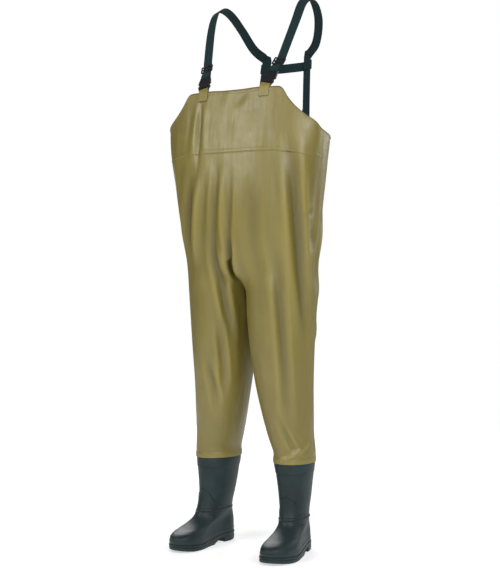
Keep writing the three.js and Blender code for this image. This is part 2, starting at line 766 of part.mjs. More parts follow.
// A tab on the top edge, with its loop: a strip up the outside, over, and down the inside.
function rimTab(turn, edge, lean, across) {
  const top = rimHeight(turn);
  const outside = welt + clearance + tabThickness / 2;
  const bow = tabWidth ** 2 / (8 * chestDepth * 0.4);
  const inside = -(fabric + clearance * 3 + bow + tabThickness / 2);
  const at = (down, offset) =>
    torsoPoint(turn, top - down).addScaledVector(torsoNormal(turn, top - down), offset);
  const bar = edge.clone().addScaledVector(lean, hookRise);
  const loop = turnRound(bar, outAt(across, lean), lean, tabThickness);
  const up = [at(tabDrop, outside), at(tabDrop / 2, outside), at(1, outside)];
  const down = [at(1, inside), at(tabTail, inside)];
  const level = edgeDirection(turn).multiplyScalar(Math.sign(across.x));
  const flat = (place) => ({ place, across: level });
  const round = (place) => ({ place, across });
  return ribbon([...up.map(flat), ...loop.map(round), ...down.map(flat)], tabWidth, tabThickness);
}

// Distances along the braces, from the top edge.
const socketStart = hookRise - barSize / 2;
const plugStart = socketStart + socketLength + clearance;
const plugEnd = plugStart + plugLength;
const sliderStart = plugEnd + sliderGap;
const sliderEnd = sliderStart + sliderLength;
const ringStart = hookRise - barSize / 2;
const ringEnd = ringStart + ringHeight;
const onFront = (distance) => frontEdge.clone().addScaledVector(rise, distance);
const onBack = (distance) => backEdge.clone().addScaledVector(drop, distance);

const shoulderCurve = new THREE.CatmullRomCurve3(
  [onFront(sliderEnd + 14), ...bracePoints.slice(1, -1), crossing.clone().addScaledVector(drop, webbingWidth)],
  false,
  "centripetal",
);

// One length of webbing: round the plug's bar, behind the slider, over the shoulder, and round the back ring.
function shoulderStrap() {
  const path = [];
  const push = (place, across) => path.push({ place, across });
  const frontOut = outAt(frontAcross, rise);
  const front = (distance, offset) => push(onFront(distance).addScaledVector(frontOut, offset), frontAcross);
  const behind = -(sliderThickness / 2 + clearance + webbing / 2);
  const spread = barSize + clearance;
  front(sliderStart - 1.5, behind + webbing + clearance);
  front(plugEnd + 6, spread);
  const plugBar = onFront(plugEnd - barSize / 2);
  for (const place of turnRound(plugBar, frontOut, rise.clone().negate(), webbing)) push(place, frontAcross);
  front(plugEnd + 6, -spread);
  front(sliderStart - 1.5, behind);
  front(sliderEnd + 1, behind);
  const steps = 20;
  for (let i = 0; i <= steps; i += 1) {
    const t = i / steps;
    const toShoulder = frontAcross.clone().lerp(shoulderAcross, smooth(t / 0.5));
    push(shoulderCurve.getPointAt(t), toShoulder.lerp(backAcross.clone().negate(), smooth(t / 0.5 - 1)));
  }
  const down = drop.clone().negate();
  const backOut = outAt(backAcross, drop);
  const acrossBack = backAcross.clone().negate();
  const back = (distance, offset) => push(onBack(distance).addScaledVector(backOut, offset), acrossBack);
  back(ringEnd + strapOverlap + 6, 0);
  back(ringEnd + 8, barSize);
  for (const place of turnRound(onBack(ringEnd - barSize / 2), backOut, down, webbing)) push(place, acrossBack);
  back(ringEnd + 8, -barSize);
  back(ringEnd + strapOverlap, -webbing - clearance);
  return ribbon(path, webbingWidth, webbing);
}

// The cross strap: over the back of both shoulder straps, with its ends turned round them.
function crossStrap() {
  const reach = square(backAcross, drop).negate();
  const out = outAt(backAcross, drop);
  const gap = webbing + clearance * 2;
  const half = webbingWidth / 2 + clearance;
  const end = [
    { side: half * -0.8, layer: -gap },
    { side: half, layer: -gap },
    { side: half + gap * 0.9, layer: -gap * 0.45 },
    { side: half + gap * 0.9, layer: gap * 0.45 },
    { side: half, layer: gap },
    { side: -half, layer: gap },
  ];
  const left = end.map(({ side, layer }) => ({
    place: crossing.clone().addScaledVector(reach, side).addScaledVector(out, layer),
    across: drop,
  }));
  const other = left.map(({ place, across }) => ({
    place: point(-place.x, place.y, place.z),
    across: point(-across.x, across.y, across.z),
  }));
  return ribbon([...left, ...other.reverse()], webbingWidth, webbing);
}

function leftPieces() {
  const boot = (geometry) => geometry.rotateZ(radians(toeOut)).translate(shaftSpread, 0, 0);
  const onBrace = (geometry, distance) => placed(geometry, onFront(distance), rise, frontAcross);
  return {
    boot_upper: boot(upper()),
    outsole: boot(outsole()),
    insole: boot(insole()),
    front_tab: rimTab(frontTurn, frontEdge, rise, frontAcross),
    buckle_socket: onBrace(socket(), socketStart),
    buckle_plug: onBrace(plug(), plugStart),
    strap_slider: onBrace(slider(), sliderStart),
    shoulder_strap: shoulderStrap(),
    back_ring: placed(backRing(), onBack(ringStart), drop, backAcross),
    back_tab: rimTab(backTurn, backEdge, drop, backAcross),
  };
}

// Materials

const finish = (color, roughness) => new THREE.MeshStandardMaterial({ color, roughness, metalness: 0 });
const oliveFabric = finish(0x8a8259, 0.45);
const bootRubber = finish(0x2c3a3c, 0.5);
const darkWebbing = finish(0x1d3a3e, 0.85);
const blackPlastic = finish(0x1b1a20, 0.4);
const liningFelt = finish(0x55584e, 0.9);
const pieceMaterial = {
  boot_upper: bootRubber,
  outsole: bootRubber,
  insole: liningFelt,
  front_tab: oliveFabric,
  buckle_socket: blackPlastic,
  buckle_plug: blackPlastic,
  strap_slider: blackPlastic,
  shoulder_strap: darkWebbing,
  back_ring: blackPlastic,
  back_tab: oliveFabric,
};

const wader = new THREE.Group();
const place = (name, geometry, material) => {
  const piece = new THREE.Mesh(geometry, material);
  piece.name = name;
  wader.add(piece);
};
place("trousers", trousers(), oliveFabric);
place("cross_strap", crossStrap(), darkWebbing);
for (const [name, geometry] of Object.entries(leftPieces())) {
  place(`${name}_left`, geometry, pieceMaterial[name]);
  place(`${name}_right`, mirrored(geometry), pieceMaterial[name]);
}

// The origin is on the floor, under the middle of the whole wader.
const bounds = new THREE.Box3().setFromObject(wader, true);
const middle = bounds.getCenter(point(0, 0, 0));
wader.position.set(-middle.x, -middle.y, -bounds.min.z);

export default wader;
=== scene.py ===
"""A chest wader: bib trousers of coated fabric, rubber boots, and webbing braces, in a plain studio."""

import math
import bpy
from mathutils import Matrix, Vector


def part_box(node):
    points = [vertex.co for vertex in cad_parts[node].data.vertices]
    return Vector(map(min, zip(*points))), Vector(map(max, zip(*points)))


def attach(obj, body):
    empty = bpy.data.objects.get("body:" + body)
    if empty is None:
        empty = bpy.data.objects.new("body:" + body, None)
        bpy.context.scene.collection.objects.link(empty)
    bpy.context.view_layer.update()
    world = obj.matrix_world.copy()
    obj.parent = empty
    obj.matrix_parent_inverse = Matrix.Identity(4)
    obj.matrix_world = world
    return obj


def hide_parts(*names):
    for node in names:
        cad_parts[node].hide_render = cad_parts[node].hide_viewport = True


bl_info = {
    "name": "Chest wader",
    "version": (1, 0, 0),
    "blender": (4, 5, 0),
    "location": "3D View > Sidebar > Wader",
    "description": "Dresses the packed chest wader in fabric, rubber and webbing",
    "category": "Object",
}

from collections import namedtuple

import bpy
import numpy as np
from bpy.props import FloatProperty, FloatVectorProperty, PointerProperty

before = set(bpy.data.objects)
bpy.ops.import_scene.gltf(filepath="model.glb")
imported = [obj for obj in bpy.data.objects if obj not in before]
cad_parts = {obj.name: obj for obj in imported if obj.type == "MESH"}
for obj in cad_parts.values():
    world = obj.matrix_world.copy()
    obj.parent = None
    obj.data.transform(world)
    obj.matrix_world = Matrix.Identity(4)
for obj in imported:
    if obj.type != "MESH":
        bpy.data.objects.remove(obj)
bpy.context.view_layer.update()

MM = 0.001
SIDES = {"left": 1, "right": -1}

# Driving sizes, in millimetres

CLEARANCE = 0.3
BIB_HEIGHT = 1377.0
SEAM_BASE = 1160.0
FORK_HEIGHT = 880.0
FORK_DIP = 80.0
HEM_HEIGHT = 268.0
CHEST_WIDTH = 512.0
CHEST_DEPTH = 330.0
HIP_WIDTH = 416.0
FABRIC = 1.0
WELT = 0.9
HEM_BAND = 15.0
RIM_BAND = 11.0
SEAM_BAND = 12.0
FOOT_LENGTH = 285.0
BALL_WIDTH = 106.0
HEEL_BEHIND = 72.0
BOOT_HEIGHT = 295.0
BOOT_WALL = 2.6
LEDGE = 3.6
RAND = 1.3
CUFF = 1.1
CUFF_HEIGHT = 238.0
SHAFT_SPREAD = 140.0
TOE_OUT = 7.5
SEAT_HEIGHT = 28.0
BALL_HEIGHT = 17.0
TOE_HEIGHT = 24.0
TOE_SPRING = 9.0
ARCH_HEIGHT = 15.0
GROOVE_DEPTH = 5.0
GROOVE_WIDTH = 5.0
WEBBING_WIDTH = 30.0
WEBBING = 1.7
FRONT_TAB_PLACE = 105.0
BACK_TAB_PLACE = 89.0
TAB_WIDTH = 32.0
TAB_THICKNESS = 1.3
TAB_DROP = 30.0
TAB_TAIL = 20.0
HOOK_RISE = 9.0
SOCKET_LENGTH = 34.0
PLUG_LENGTH = 19.0
SLIDER_LENGTH = 27.0
SLIDER_THICKNESS = 3.2
SLIDER_GAP = 22.0
BAR = 3.0
RING_HEIGHT = 15.0
STRAP_OVERLAP = 85.0
CORNER_TURN = 33.0

# How finely the forms are drawn, and where the bib's corner and the chest seam lie among the rows

TORSO_COLUMNS = 200
LEG_COLUMNS = 140
BOOT_COLUMNS = 96
CORNER_SHARE = 0.4
SEAM_SHARE = 0.12

# Sections, as shares of the driving sizes. Each column is one named quantity.

TORSO = {
    "rise": (0.0, 0.16, 0.36, 0.56, 0.72, 0.85, 1.0),
    "width": (0.8125, 0.845, 0.9, 0.965, 1.0, 1.005, 1.005),
    "front": (-0.49, -0.54, -0.555, -0.53, -0.495, -0.455, -0.405),
    "side": (-0.075, -0.085, -0.11, -0.15, -0.17, -0.18, -0.18),
    "back": (0.42, 0.43, 0.44, 0.465, 0.515, 0.545, 0.56),
}
LEG = {
    "rise": (0.048, 0.134, 0.248, 0.387, 0.559, 0.706, 0.82),
    "centre": (0.0, 0.33, 0.62, 0.89, 1.08, 1.15, 1.1),
    "width": (0.0, 0.15, 0.34, 0.52, 0.69, 0.83, 0.9),
    "depth": (0.0, 0.05, 0.17, 0.32, 0.55, 0.66, 0.74),
}
RIM = {
    "turn": (0, 14, 24, 33, 40, 48, 60, 75, 90, 105, 120, 138, 150, 160, 170, 180),
    "rise": (
        0.985, 1.0, 0.995, 0.975, 0.83, 0.71, 0.6, 0.51, 0.42, 0.375, 0.365, 0.4, 0.43, 0.41, 0.27, 0.14,
    ),
}
OUTLINE = {
    "turn": (0, 22.5, 45, 67.5, 90, 112.5, 135, 157.5, 180),
    "lateral": (-0.09, 0.17, 0.395, 0.505, 0.46, 0.39, 0.355, 0.215, 0),
    "medial": (0.09, 0.33, 0.465, 0.475, 0.37, 0.325, 0.345, 0.215, 0),
}
UPPER = {
    "ring": tuple(range(15)),
    "front": (
        0.735, 0.742, 0.734, 0.7, 0.63, 0.535, 0.445, 0.365, 0.304, 0.264, 0.246, 0.25, 0.262, 0.267, 0.267,
    ),
    "front_rise": (
        0.083, 0.122, 0.148, 0.172, 0.192, 0.211, 0.236, 0.275, 0.338, 0.43, 0.54, 0.66, 0.8, 0.895, 1,
    ),
    "back": (
        0.24, 0.247, 0.249, 0.248, 0.245, 0.24, 0.234, 0.229,
        0.228, 0.234, 0.25, 0.277, 0.297, 0.305, 0.305,
    ),
    "back_rise": (
        0.096, 0.145, 0.185, 0.225, 0.262, 0.297, 0.332, 0.37, 0.41, 0.465, 0.54, 0.66, 0.8, 0.895, 1,
    ),
    "width": (
        0.465, 0.467, 0.458, 0.44, 0.415, 0.395, 0.38, 0.37, 0.37, 0.385, 0.42, 0.455, 0.505, 0.545, 0.547,
    ),
    "foot": (1, 1, 1, 0.95, 0.8, 0.5, 0.2, 0, 0, 0, 0, 0, 0, 0, 0),
    "lean": (0, 0, 0, 0, 0, 0, 0, 0.005, 0.01, 0.02, 0.03, 0.04, 0.05, 0.06, 0.06),
}
SHAFT_RING = 10
SEAT = {
    "along": (0, 0.25, 0.48, 0.7, 1),
    "height": (
        SEAT_HEIGHT,
        SEAT_HEIGHT - 1,
        SEAT_HEIGHT + (BALL_HEIGHT - SEAT_HEIGHT) * 0.6,
        BALL_HEIGHT,
        TOE_HEIGHT,
    ),
}
BRACE = {
    "across": (0.531, 0.578, 0.598, 0.602, 0.586, 0.539, 0.438, 0.293),
    "back": (-0.158, -0.055, 0.052, 0.188, 0.327, 0.47, 0.57, 0.606),
    "up": (1.089, 1.151, 1.195, 1.211, 1.204, 1.175, 1.133, 1.086),
}

# The fabric's main folds on each face of the wader: width, depth, and the places that it runs through, as
# distances from the middle and heights. A depth below zero is a ridge.

Fold = namedtuple("Fold", "face width depth path")

FOLDS_ON = {
    "front": (
        (17, 7, ((164, 1309), (190, 1206), (201, 1066), (197, 906), (193, 766), (192, 651), (190, 568))),
        (13, 5, ((132, 986), (144, 890), (152, 784), (156, 621), (156, 474), (158, 391), (168, 347))),
        (16, -3, ((-95, 1158), (-108, 1034), (-123, 909), (-124, 783))),
        (10, 4, ((-34, 1172), (-31, 1113), (-44, 949), (-54, 784))),
        (8, -3, ((-12, 1171), (-8, 1071), (-12, 979), (-14, 928), (-7, 866), (-16, 804))),
        (8, 4, ((10, 1172), (16, 1029), (3, 907), (-6, 846), (-10, 800))),
        (9, 10, ((8, 950), (2, 890), (-3, 840), (-5, 805))),
        (12, 6, ((-54, 990), (-56, 908), (-44, 813), (-38, 733), (-30, 667), (-28, 600))),
        (10, 4, ((-53, 718), (-53, 634), (-54, 530), (-62, 463))),
        (10, 4, ((-103, 600), (-94, 549), (-83, 463), (-86, 400))),
        (18, 5, ((-120, 1150), (-140, 1040), (-150, 950), (-156, 860))),
        (10, -1.6, ((-130, 1362), (-127, 1270), (-125, 1150))),
        (7, 3, ((-112, 1366), (-106, 1270), (-98, 1110))),
        (8, -1.6, ((-97, 1366), (-86, 1270), (-76, 1160))),
        (16, 2, ((34, 1370), (22, 1345), (12, 1315))),
        (16, 2.5, ((95, 1180), (92, 1080), (84, 960), (86, 850), (92, 740))),
        (7, -3.2, ((203, 352), (190, 325), (172, 302), (150, 289), (120, 280), (98, 276))),
        (4, 1.2, ((1, 1300), (2, 1250), (1, 1190))),
        (7, 3.2, ((126, 430), (139, 382), (156, 345), (170, 312), (182, 288))),
    ),
    "left": (
        (9, 1.2, ((-100, 1000), (-70, 1006), (-36, 1014))),
        (18, 2.5, ((-20, 1200), (-30, 1080), (-34, 940), (-40, 800), (-36, 640))),
        (16, 2.5, ((40, 1120), (30, 980), (22, 830), (20, 660), (16, 500))),
    ),
    "right": (
        (16, 5, ((-30, 1190), (-36, 1060), (-30, 900), (-36, 740), (-34, 560))),
        (14, 5, ((30, 1140), (34, 1000), (26, 850), (30, 680))),
    ),
    "back": (
        (15, 11, ((-108, 1165), (-113, 1144), (-134, 1023), (-155, 905), (-163, 824), (-172, 758), (-176, 700))),
        (22, 8, ((125, 1158), (128, 1102), (150, 1024), (166, 945), (176, 865), (179, 784))),
        (12, 4, ((80, 1090), (84, 1040), (85, 985))),
        (10, 3, ((36, 1060), (37, 1030), (38, 990))),
        (14, 5, ((6, 1172), (-2, 1147), (-14, 1080), (-14, 996))),
        (13, 14, ((-14, 990), (-12, 920), (-11, 860), (-8, 800))),
        (10, 5, ((-61, 1050), (-57, 962), (-51, 890))),
        (6, 4, ((12, 990), (4, 900))),
        (13, 6, ((70, 940), (81, 864), (86, 815))),
        (16, -4, ((-85, 1120), (-96, 1020), (-104, 920))),
        (7, 5, ((180, 712), (165, 655), (160, 620))),
        (15, 4, ((14, 680), (55, 640), (104, 596))),
        (9, -4, ((88, 600), (86, 560), (82, 470))),
        (13, 3, ((124, 326), (88, 348), (52, 372))),
        (15, 3.5, ((-138, 680), (-150, 570), (-169, 440))),
        (13, 3, ((-30, 655), (-60, 610), (-104, 575))),
    ),
}
FOLDS = [Fold(face, *row) for face, rows in FOLDS_ON.items() for row in rows]
FOLD_STRENGTH = 1.7
FOLD_SHOULDER = 0.45  # how much the fabric rises beside a fold, as a share of its depth
FOLD_END = 0.42  # the share of its length over which a fold fades at either end

# Welded seams on the back: down its middle, and across the seat
SEAT_LINE = (
    ((-190, 780), (-179, 813), (-134, 891), (-105, 926), (-81, 954), (-54, 982), (-25, 1006), (-10, 1010))
    + ((10, 984), (38, 957), (65, 923), (94, 890), (114, 867), (137, 836), (175, 770), (184, 735))
)
SEAMS = {
    "middle": Fold("back", 6, 0, ((0, 1200), (6, 1178), (-2, 1147), (-16, 1080), (-16, 1035), (-14, 985))),
    "seat": Fold("back", 6, 0, SEAT_LINE),
}

# Small tools


def section(table, key, value):
    """Every column of a table at values of its key, on a smooth curve through its rows."""
    x = np.asarray(table[key], float)
    value = np.asarray(value, float)
    i = np.clip(np.searchsorted(x, value, "right") - 1, 0, len(x) - 2)
    span = x[i + 1] - x[i]
    t = np.clip((value - x[i]) / span, 0, 1)
    out = {}
    for name, column in table.items():
        y = np.asarray(column, float)
        slope = np.empty_like(y)
        slope[1:-1] = (y[2:] - y[:-2]) / (x[2:] - x[:-2])
        slope[0] = (y[1] - y[0]) / (x[1] - x[0])
        slope[-1] = (y[-1] - y[-2]) / (x[-1] - x[-2])
        out[name] = curve(t, y[i], slope[i] * span, y[i + 1], slope[i + 1] * span)
    return out


def curve(t, start, start_slope, end, end_slope):
    """A smooth way from start (t = 0) to end (t = 1), with given slopes."""
    return (
        start * (2 * t**3 - 3 * t**2 + 1)
        + start_slope * (t**3 - 2 * t**2 + t)
        + end * (3 * t**2 - 2 * t**3)
        + end_slope * (t**3 - t**2)
    )


def from_front(turn):
    """How far a turn lies from the middle of the front, on either side."""
    return np.where(turn > 180, 360 - turn, turn)


def mix(a, b, t):
    return a + (b - a) * t


def smooth(t):
    t = np.clip(t, 0, 1)
    return t * t * (3 - 2 * t)


def power(value, exponent):
    return np.sign(value) * np.abs(value) ** exponent


def unit(v):
    v = np.asarray(v, float)
    return v / np.maximum(np.linalg.norm(v, axis=-1, keepdims=True), 1e-12)


def stack(x, y, z):
    return np.stack(np.broadcast_arrays(x, y, z), axis=-1).astype(float)


def spline(nodes, steps):
    """Points along a smooth curve through nodes."""
    nodes = np.asarray(nodes, float)
    run = np.sqrt(np.linalg.norm(np.diff(nodes, axis=0), axis=1))
    table = {"run": np.concatenate([[0], np.cumsum(run)])}
    for k, name in enumerate("xyz"):
        table[name] = nodes[:, k]
    row = section(table, "run", np.linspace(0, table["run"][-1], steps))
    return stack(row["x"], row["y"], row["z"])


def mirrored(points, faces):
    """The other side's copy of a left piece."""
    return points * np.array([-1, 1, 1]), [tuple(reversed(f)) for f in faces]


# Meshes


def bands(rings):
    """Quads between rings of equal length, from the lowest up, each turning anticlockwise from above."""
    rings = np.asarray(rings)
    a, b = rings[:-1], rings[1:]
    quads = np.stack([a, np.roll(a, -1, 1), np.roll(b, -1, 1), b], axis=-1)
    return quads.reshape(-1, 4)


def lid(ring, up):
    """Faces that close a ring whose columns c and n - c lie across from each other."""
    n = len(ring)
    faces = []
    for c in range(n // 2):
        quad = [ring[c], ring[c + 1], ring[(n - c - 1) % n], ring[(n - c) % n]]
        corners = list(dict.fromkeys(quad))
        faces.append(tuple(corners if up else corners[::-1]))
    return faces


def point_normals(points, quads):
    quads = np.asarray(quads)
    p = points[quads]
    normal = np.cross(p[:, 2] - p[:, 0], p[:, 3] - p[:, 1])
    total = np.zeros_like(points)
    for k in range(4):
        np.add.at(total, quads[:, k], normal)
    return unit(total)


def hollow(points, quads, wall):
    """A wall's thickness given inwards to an open surface. The inner quads come second, its edges last."""
    quads = np.asarray(quads)
    n = len(points)
    inner = points - point_normals(points, quads) * wall
    edges = np.concatenate([quads[:, [k, (k + 1) % 4]] for k in range(4)])
    keys = edges[:, 0] * n + edges[:, 1]
    free = edges[~np.isin(keys, edges[:, 1] * n + edges[:, 0])]
    rim = np.stack([free[:, 1], free[:, 0], free[:, 0] + n, free[:, 1] + n], axis=-1)
    return np.concatenate([points, inner]), np.concatenate([quads, quads[:, ::-1] + n, rim])


def make(name, points, faces, materials, slots=None, attributes=None, flat=None):
    """A mesh object from points in millimetres."""
    mesh = bpy.data.meshes.new(name)
    mesh.from_pydata((np.asarray(points) * MM).tolist(), [], [tuple(int(i) for i in f) for f in faces])
    for material in materials:
        mesh.materials.append(material)
    mesh.polygons.foreach_set("use_smooth", np.ones(len(mesh.polygons), bool))
    if slots is not None:
        mesh.polygons.foreach_set("material_index", np.asarray(slots, np.int32))
    for key, values in (attributes or {}).items():
        mesh.attributes.new(key, "FLOAT", "POINT").data.foreach_set("value", np.asarray(values, np.float32))
    if flat is not None:
        mesh.set_sharp_from_angle(angle=math.radians(flat))
    mesh.update()
    obj = bpy.data.objects.new(name, mesh)
    bpy.context.scene.collection.objects.link(obj)
    return obj


def declare(obj, slot, *nodes):
    """Hides the CAD nodes that a piece stands in for, and makes it ride on the one body. Its slot is not used.
    """
    if nodes:
        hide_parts(*nodes)
    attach(obj, "root")
    return obj


# The trousers' surface

FRONT_SQUARENESS = 2.5  # 2 gives an oval section, more gives a squarer one
BACK_SQUARENESS = 2.1
BODY_ROWS = 40
BIB_ROWS = 27
LEG_ROWS = 70
FORK_ROWS = 16
# Rows close to the welds, in millimetres over the chest seam, under the top edge, and over the hem
SEAM_ROWS = (-6, -4, -3, -2, -1.2, -0.5, 0, 0.6, 1.2, 2.5, 6, 10, 11.5, 12.2, 13, 14, 16)
RIM_ROWS = (0, 0.5, 1.2, 2.2, 3.2, 4, 4.6, 6, 8, 10, 11, 12, 13, 15)
HEM_ROWS = (0, 1, 2.2, 3.4, HEM_BAND - 2, HEM_BAND - 0.8, HEM_BAND, HEM_BAND + 0.8, HEM_BAND + 2)
TOP_BEAD, TOP_BEAD_OUT = 2.2, 1.9  # half the width of the rolled top edge, and how far it stands out
HEM_BEAD, HEM_BEAD_OUT = 1.8, 0.5
FAR_FROM_EDGE = 500.0


def torso_point(turn, z):
    """The body's outer face. Turn runs from the middle of the front towards the left side."""
    row = section(TORSO, "rise", (z - FORK_HEIGHT) / (BIB_HEIGHT - FORK_HEIGHT))
    s, c = np.sin(np.radians(turn)), np.cos(np.radians(turn))
    exponent = np.where(c > 0, 2 / FRONT_SQUARENESS, 2 / BACK_SQUARENESS)
    depth = np.where(c > 0, row["side"] - row["front"], row["back"] - row["side"])
    x = power(s, exponent) * row["width"] * CHEST_WIDTH / 2
    return stack(x, (row["side"] - power(c, exponent) * depth) * CHEST_DEPTH + ORIGIN_Y, z)


def torso_normal(turn, z):
    across = torso_point(turn + 1, z) - torso_point(turn - 1, z)
    up = torso_point(turn, z + 2) - torso_point(turn, z - 2)
    return unit(np.cross(across, up))


def rim_height(turn):
    return mix(SEAM_BASE, BIB_HEIGHT, section(RIM, "turn", from_front(turn))["rise"])


def column_turn(column):
    """The turn of a column, with one column on the bib's corner."""
    side = TORSO_COLUMNS // 4
    corner = side * CORNER_SHARE
    folded = np.where(column > 2 * side, 4 * side - column, column)
    front = np.where(
        folded > corner,
        mix(CORNER_TURN, 90, (folded - corner) / (side - corner)),
        folded / corner * CORNER_TURN,
    )
    turn = np.where(folded > side, 90 + (folded - side) * 90 / side, front)
    return np.where(column > 2 * side, 360 - turn, turn)


def turn_at(x, z, front):
    """The turn at which the body's face lies at a distance from its middle, by halving."""
    low, high = (0.0, 90.0) if front else (180.0, 90.0)
    halvings = 40
    for _ in range(halvings):
        middle = (low + high) / 2
        if torso_point(middle, z)[0] < x:
            low = middle
        else:
            high = middle
    return low


# The boots' surface, each in its own frame: the shaft's axis at the origin, the toe towards -Y, the outside
# of the foot towards +X

FOLLOW_SEAT = 1.35, 4.0  # how much the upper's lowest rings follow the seat, and how fast that ends upwards


def outline(turn, inset):
    """The foot's edge, drawn in by an inset. Turn runs from the toe towards the outside."""
    row = section(OUTLINE, "turn", from_front(turn))
    side = np.where(turn > 180, -row["medial"], row["lateral"])
    half = FOOT_LENGTH / 2 - inset
    x = side * BALL_WIDTH * (1 - inset / (BALL_WIDTH / 2))
    return x, HEEL_BEHIND - FOOT_LENGTH / 2 - half * np.cos(np.radians(turn))


def along_foot(y):
    return np.clip((HEEL_BEHIND - y) / FOOT_LENGTH, 0, 1)


def seat_at(y):
    return section(SEAT, "along", along_foot(y))["height"]


def upper_point(ring, turn, offset):
    """A place on an upper, from ring 0 at the sole to ring 14 at the collar, moved out by an offset."""
    row = section(UPPER, "ring", ring)
    t = np.radians(turn)
    front = row["front"] * FOOT_LENGTH + offset
    back = row["back"] * FOOT_LENGTH + offset
    y = (back * (1 - np.cos(t)) - front * (1 + np.cos(t))) / 2
    foot = outline(turn, LEDGE)[0] * row["width"] / UPPER["width"][0]
    oval = row["width"] * BALL_WIDTH * np.sin(t)
    x = mix(oval, foot, row["foot"]) + np.sin(t) * offset - row["lean"] * BALL_WIDTH
    share = (1 + np.cos(t)) / 2
    level = mix(row["back_rise"], row["front_rise"], share) * BOOT_HEIGHT
    base = mix(UPPER["back_rise"][0], UPPER["front_rise"][0], share) * BOOT_HEIGHT
    follow = np.clip(FOLLOW_SEAT[0] - row["back_rise"] * FOLLOW_SEAT[1], 0, 1)
    return stack(x, y, level + follow * (seat_at(y) + CLEARANCE - base))


def boot_place(points):
    """From a boot's own frame to the left boot's place."""
    s, c = math.sin(math.radians(TOE_OUT)), math.cos(math.radians(TOE_OUT))
    x, y, z = points[..., 0], points[..., 1], points[..., 2]
    return stack(x * c - y * s + SHAFT_SPREAD, x * s + y * c + ORIGIN_Y, z)


def shaft_point(turn, z, offset):
    """A place on the left boot's shaft at a height."""
    rises = UPPER["front_rise"][SHAFT_RING:]
    ring = SHAFT_RING + np.interp(np.minimum(z / BOOT_HEIGHT, 1), rises, np.arange(len(rises)))
    place = upper_point(ring, turn, offset)
    return boot_place(stack(place[..., 0], place[..., 1], z))


# The body's own origin on the Y axis, found from the CAD's foremost point
ORIGIN_Y = 0.0
foremost = torso_point(np.zeros(60), np.linspace(FORK_HEIGHT, BIB_HEIGHT, 60))[:, 1].min()
ORIGIN_Y = float(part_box("trousers")[0][1]) / MM - float(foremost)


# The legs, whose first column lies a few sectors of the ring before the front

SECTORS = 28
SECTORS_BEFORE = 4


def leg_turn(column):
    return (column * SECTORS / LEG_COLUMNS - SECTORS_BEFORE) * 360 / SECTORS


def leg_point(rise, column):
    """The left leg's outer face, under the fork."""
    turn = leg_turn(column)
    z = mix(HEM_HEIGHT, FORK_HEIGHT, rise)
    hem = CUFF + FABRIC + CLEARANCE
    low = shaft_point(turn, np.minimum(z, BOOT_HEIGHT), hem)
    row = section(LEG, "rise", rise)
    middle = (shaft_point(90.0, BOOT_HEIGHT, 0) + shaft_point(270.0, BOOT_HEIGHT, 0)) / 2
    s, c = np.sin(np.radians(turn)), np.cos(np.radians(turn))
    fork_y = (TORSO["front"][0] + TORSO["back"][0]) / 2 * CHEST_DEPTH + ORIGIN_Y
    fork_depth = (TORSO["back"][0] - TORSO["front"][0]) / 2 * CHEST_DEPTH
    half = HIP_WIDTH / 4
    x = mix(middle[0], half, row["centre"]) + mix(low[..., 0] - middle[0], s * half, row["width"])
    y = mix(middle[1], fork_y, row["centre"]) + mix(low[..., 1] - middle[1], -c * fork_depth, row["depth"])
    return stack(x, y, z)


def edge_bead(below):
    """How far the rolled top edge stands out, at a distance below it."""
    bead = TOP_BEAD_OUT * np.sqrt(np.clip(1 - ((below - TOP_BEAD) / TOP_BEAD) ** 2, 0, 1))
    band = WELT * smooth((RIM_BAND + 1 - below) / 1.5) * smooth((below - 4.2) / 0.8)
    return np.maximum(bead, band)


def chest_band(height):
    """How far the chest seam's overlap stands out, at a height over its lower edge."""
    band = WELT * smooth(height / 1.2) * smooth((SEAM_BAND + 1.2 - height) / 6)
    return band - 0.8 * np.exp(-(((height + 1.2) / 1.1) ** 2))


